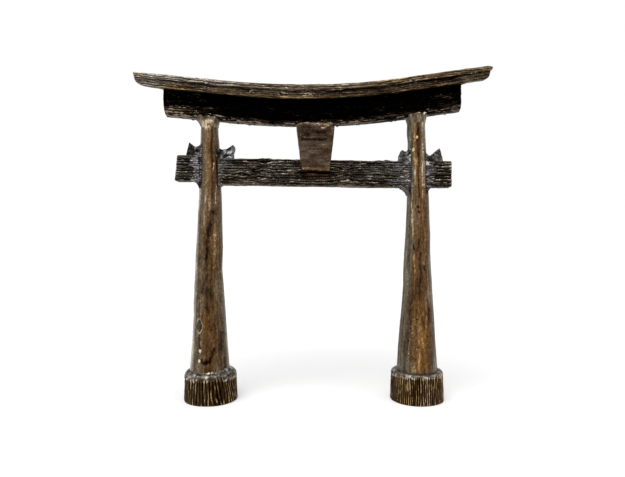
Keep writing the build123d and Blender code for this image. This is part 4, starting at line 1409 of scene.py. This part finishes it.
def build_tablet():
    low, high = cad_box("tablet")
    axis_x = (low[0] + high[0]) / 2
    top_half = (high[0] - low[0]) / 2
    beam_front = cad_box("tie_beam")[0][1]
    rise = high[2] - low[2]
    half_thickness = TABLET_THICKNESS / 2
    bar = Bar(
        rise, top_half, half_thickness,
        rounding=0.25, end_rounding=0.25, step=0.12, pitch=0.13, coarse=1,
    )
    from_foot = bar.at + 0 * bar.up
    growth = TABLET_GROWTH * (1 - smooth(from_foot, rise - 3, rise))
    half = top_half * (TABLET_TAPER + (1 - TABLET_TAPER) * from_foot / rise) + growth
    bevel_width = np.interp(from_foot, (0, rise), TABLET_BEVEL)
    bevel = np.clip(1 - half * (1 + bar.across) / bevel_width, 0, 1)
    back = beam_front + from_foot * TABLET_LEAN
    y = back - (TABLET_THICKNESS - TABLET_BEVEL_DEPTH * bevel) * (1 - bar.up) / 2
    slant = TABLET_SLANT * (1 - bar.across) / 2 * (1 - from_foot / rise)
    rings = np.stack([axis_x + bar.across * half, y, low[2] + from_foot + slant], axis=-1)
    front = smooth(-bar.up, 0.5, 0.9)
    from_axis = rings[..., 0] - axis_x
    seed = 400
    band = from_foot - 9.8 + 0.3 * cloud(rings, (1.5, 1.5, 1), seed, 2)
    band = 0.8 * hump(band, 0.5) * between(from_axis, -4.6, -4.0, 3.2, 3.8)
    fainter = from_foot - 6.7 - 0.04 * from_axis + 0.2 * noise(rings, (2, 2, 1), seed + 1)
    fainter = 0.5 * hump(fainter, 0.22) * hump(from_axis - 0.4, 2.6)
    lines = (band + fainter) * front
    recess = between(from_foot, 10.2, 10.8, 13.3, 13.9) * front
    recess = recess * between(from_axis, -4.4, -3.8, 4.2, 5)
    mottled = cloud(rings, (2.5, 1.5, 0.9), seed + 2, 3)
    fine = cloud(rings, 0.35, seed + 3, 2)
    blotch = smooth(cloud(rings, (1.8, 1, 1), seed + 5, 3), -0.1, 0.5)
    blotch = blotch * smooth(from_foot, 9.6, 10.6) * front
    down = high[2] - rings[..., 2]
    lumps = hump(from_line(from_axis, down, TABLET_LUMPS), 0.36) * front
    lumps = lumps * smooth(cloud(rings, 0.5, seed + 4, 2), -0.4, 0.3)
    height = 0.05 * mottled - 0.2 * lines - 0.1 * recess + 0.1 * lumps + 0.03 * fine
    rings = raised(rings, height)
    # Painted light on the tablet: the left bevel, which faces the key light, is painted lighter,
    # the lower and upper edges get painted highlights, and the foot's underside is painted
    # orange-brown shade.
    lit_bevel = front * (0.4 * smooth(bevel, 0.05, 0.3) + 0.6 * smooth(bevel, 0.6, 0.9))
    sole_shade = 1 - smooth(from_foot, 0.12, 0.32)
    foot_highlight = hump(from_foot - 0.6, 0.2) * front
    rubbed = front * (hump(from_foot, 2.5) + 0.6 * hump(half - from_axis, 1.2))
    right_dark = smooth(from_axis / half, 0.93, 0.99)
    head_highlight = smooth(from_foot, rise - 0.4, rise - 0.1)
    add_piece(
        "tablet", rings, TABLET_BRONZE,
        level=0.46 + 0.16 * mottled + 0.06 * fine - 0.4 * lines - 0.12 * recess + 0.4 * lumps
        + 0.45 * lit_bevel + 0.12 * foot_highlight + 0.3 * head_highlight - 0.4 * right_dark
        - 0.5 * sole_shade + 0.06 * rubbed - 0.16 * blotch,
        cool=0.1 - 0.5 * sole_shade + 0.25 * mottled + 0.1 * lit_bevel - 0.4 * rubbed,
        gold=-0.2 + 1.1 * sole_shade + 0.4 * lumps + 0.25 * recess + 0.3 * lit_bevel
        + 0.3 * rubbed,
    )


def build_tablet_bead():
    low, high = cad_box("tablet_bead")
    half = (high - low) / 2 + TABLET_BEAD_GROWTH
    middle = (high + low) / 2
    bar = Bar(2 * half[0], half[1], half[2], rounding=0.3, end_rounding=0.4, step=0.14, pitch=0.13)
    x = low[0] + bar.at + 0 * bar.up
    rings = np.stack([x, middle[1] + bar.across * half[1], middle[2] + bar.up * half[2]], axis=-1)
    lumps = cloud(rings, 0.9, 431, 3)
    rings = raised(rings, 0.15 * lumps)
    add_piece(
        "tablet_bead", rings, BEAD_BRONZE,
        level=0.3 + 0.3 * lumps, cool=0.0, gold=-0.1,
    )


build_upper_plank()
build_lower_plank()
build_lintel()
build_tie_beam()
for side in (LEFT, RIGHT):
    build_beam_end(side)
    build_post(side)
    build_foot(side)
    build_foot_bead(side)
    build_neck_bead(side)
for name in CROSSINGS:
    build_beam_bead(name)
    build_wedge(name)
build_tablet()
build_tablet_bead()


# ---------------------------------------------------------------- stage, light and camera

CAMERA_DISTANCE = 160 * MM
CAMERA_HEIGHT = 49.5 * MM
FOCAL_LENGTH = 29.7792  # for a sensor 36 mm wide
SENSOR_WIDTH = 36.0

FLOOR_SIZE = 20.0  # in metres
FLOOR_COLOUR = 0.8
FLOOR_GLOW = 0.3  # how much light of its own the background's rays see on the floor
FILL_LEVEL = 0.45  # how bright the surroundings are as a light
WHITE = (1, 1, 1, 1)


def background_rays(tree):
    """1 for the rays that see the background: the camera's, reflected and transmitted ones."""
    path = add_node(tree, "LightPath")
    seen = combine(tree, "MAXIMUM", path.outputs["Is Camera Ray"], path.outputs["Is Glossy Ray"])
    return combine(tree, "MAXIMUM", seen, path.outputs["Is Transmission Ray"])


def build_floor():
    material = bpy.data.materials.new("pale_floor")
    tree = empty_tree(material)
    diffuse = add_node(tree, "BsdfDiffuse", {"Color": (FLOOR_COLOUR,) * 3 + (1,)})
    strength = combine(tree, "MULTIPLY", background_rays(tree), FLOOR_GLOW)
    glow = add_node(tree, "Emission", {"Color": WHITE, "Strength": strength})
    both = add_node(tree, "AddShader", {0: diffuse.outputs[0], 1: glow.outputs[0]})
    add_node(tree, "OutputMaterial", {"Surface": both.outputs[0]})
    half = FLOOR_SIZE / 2
    mesh = bpy.data.meshes.new("floor")
    corners = [(-half, -half, 0), (half, -half, 0), (half, half, 0), (-half, half, 0)]
    mesh.from_pydata(corners, [], [(0, 1, 2, 3)])
    mesh.materials.append(material)
    floor = bpy.data.objects.new("floor", mesh)
    bpy.context.scene.collection.objects.link(floor)


def build_world():
    world = bpy.data.worlds.new("studio")
    bpy.context.scene.world = world
    tree = empty_tree(world)
    strength = remap(tree, background_rays(tree), 0.0, 1.0, FILL_LEVEL, 1.0)
    background = add_node(tree, "Background", {"Color": WHITE, "Strength": strength})
    add_node(tree, "OutputWorld", {"Surface": background.outputs[0]})


def add_sun(name, strength, azimuth, elevation, softness):
    """A soft far light. Azimuth 0 shines from the front and 90 from the right."""
    light = bpy.data.lights.new(name, "SUN")
    light.energy = strength
    light.angle = math.radians(softness)
    lamp = bpy.data.objects.new(name, light)
    lamp.rotation_euler = (math.radians(90 - elevation), 0, math.radians(azimuth))
    bpy.context.scene.collection.objects.link(lamp)


def build_camera():
    camera = bpy.data.cameras.new("camera")
    camera.sensor_width = SENSOR_WIDTH
    camera.lens = FOCAL_LENGTH
    camera.clip_start = 1 * MM
    eye = bpy.data.objects.new("camera", camera)
    eye.location = (0, -CAMERA_DISTANCE, CAMERA_HEIGHT)
    eye.rotation_euler = (math.radians(90), 0, 0)
    bpy.context.scene.collection.objects.link(eye)
    bpy.context.scene.camera = eye


build_floor()
build_world()
add_sun("key", strength=1.6, azimuth=-25, elevation=60, softness=40)
add_sun("fill", strength=0.5, azimuth=40, elevation=35, softness=60)
build_camera()
bpy.context.scene.view_settings.view_transform = "Standard"
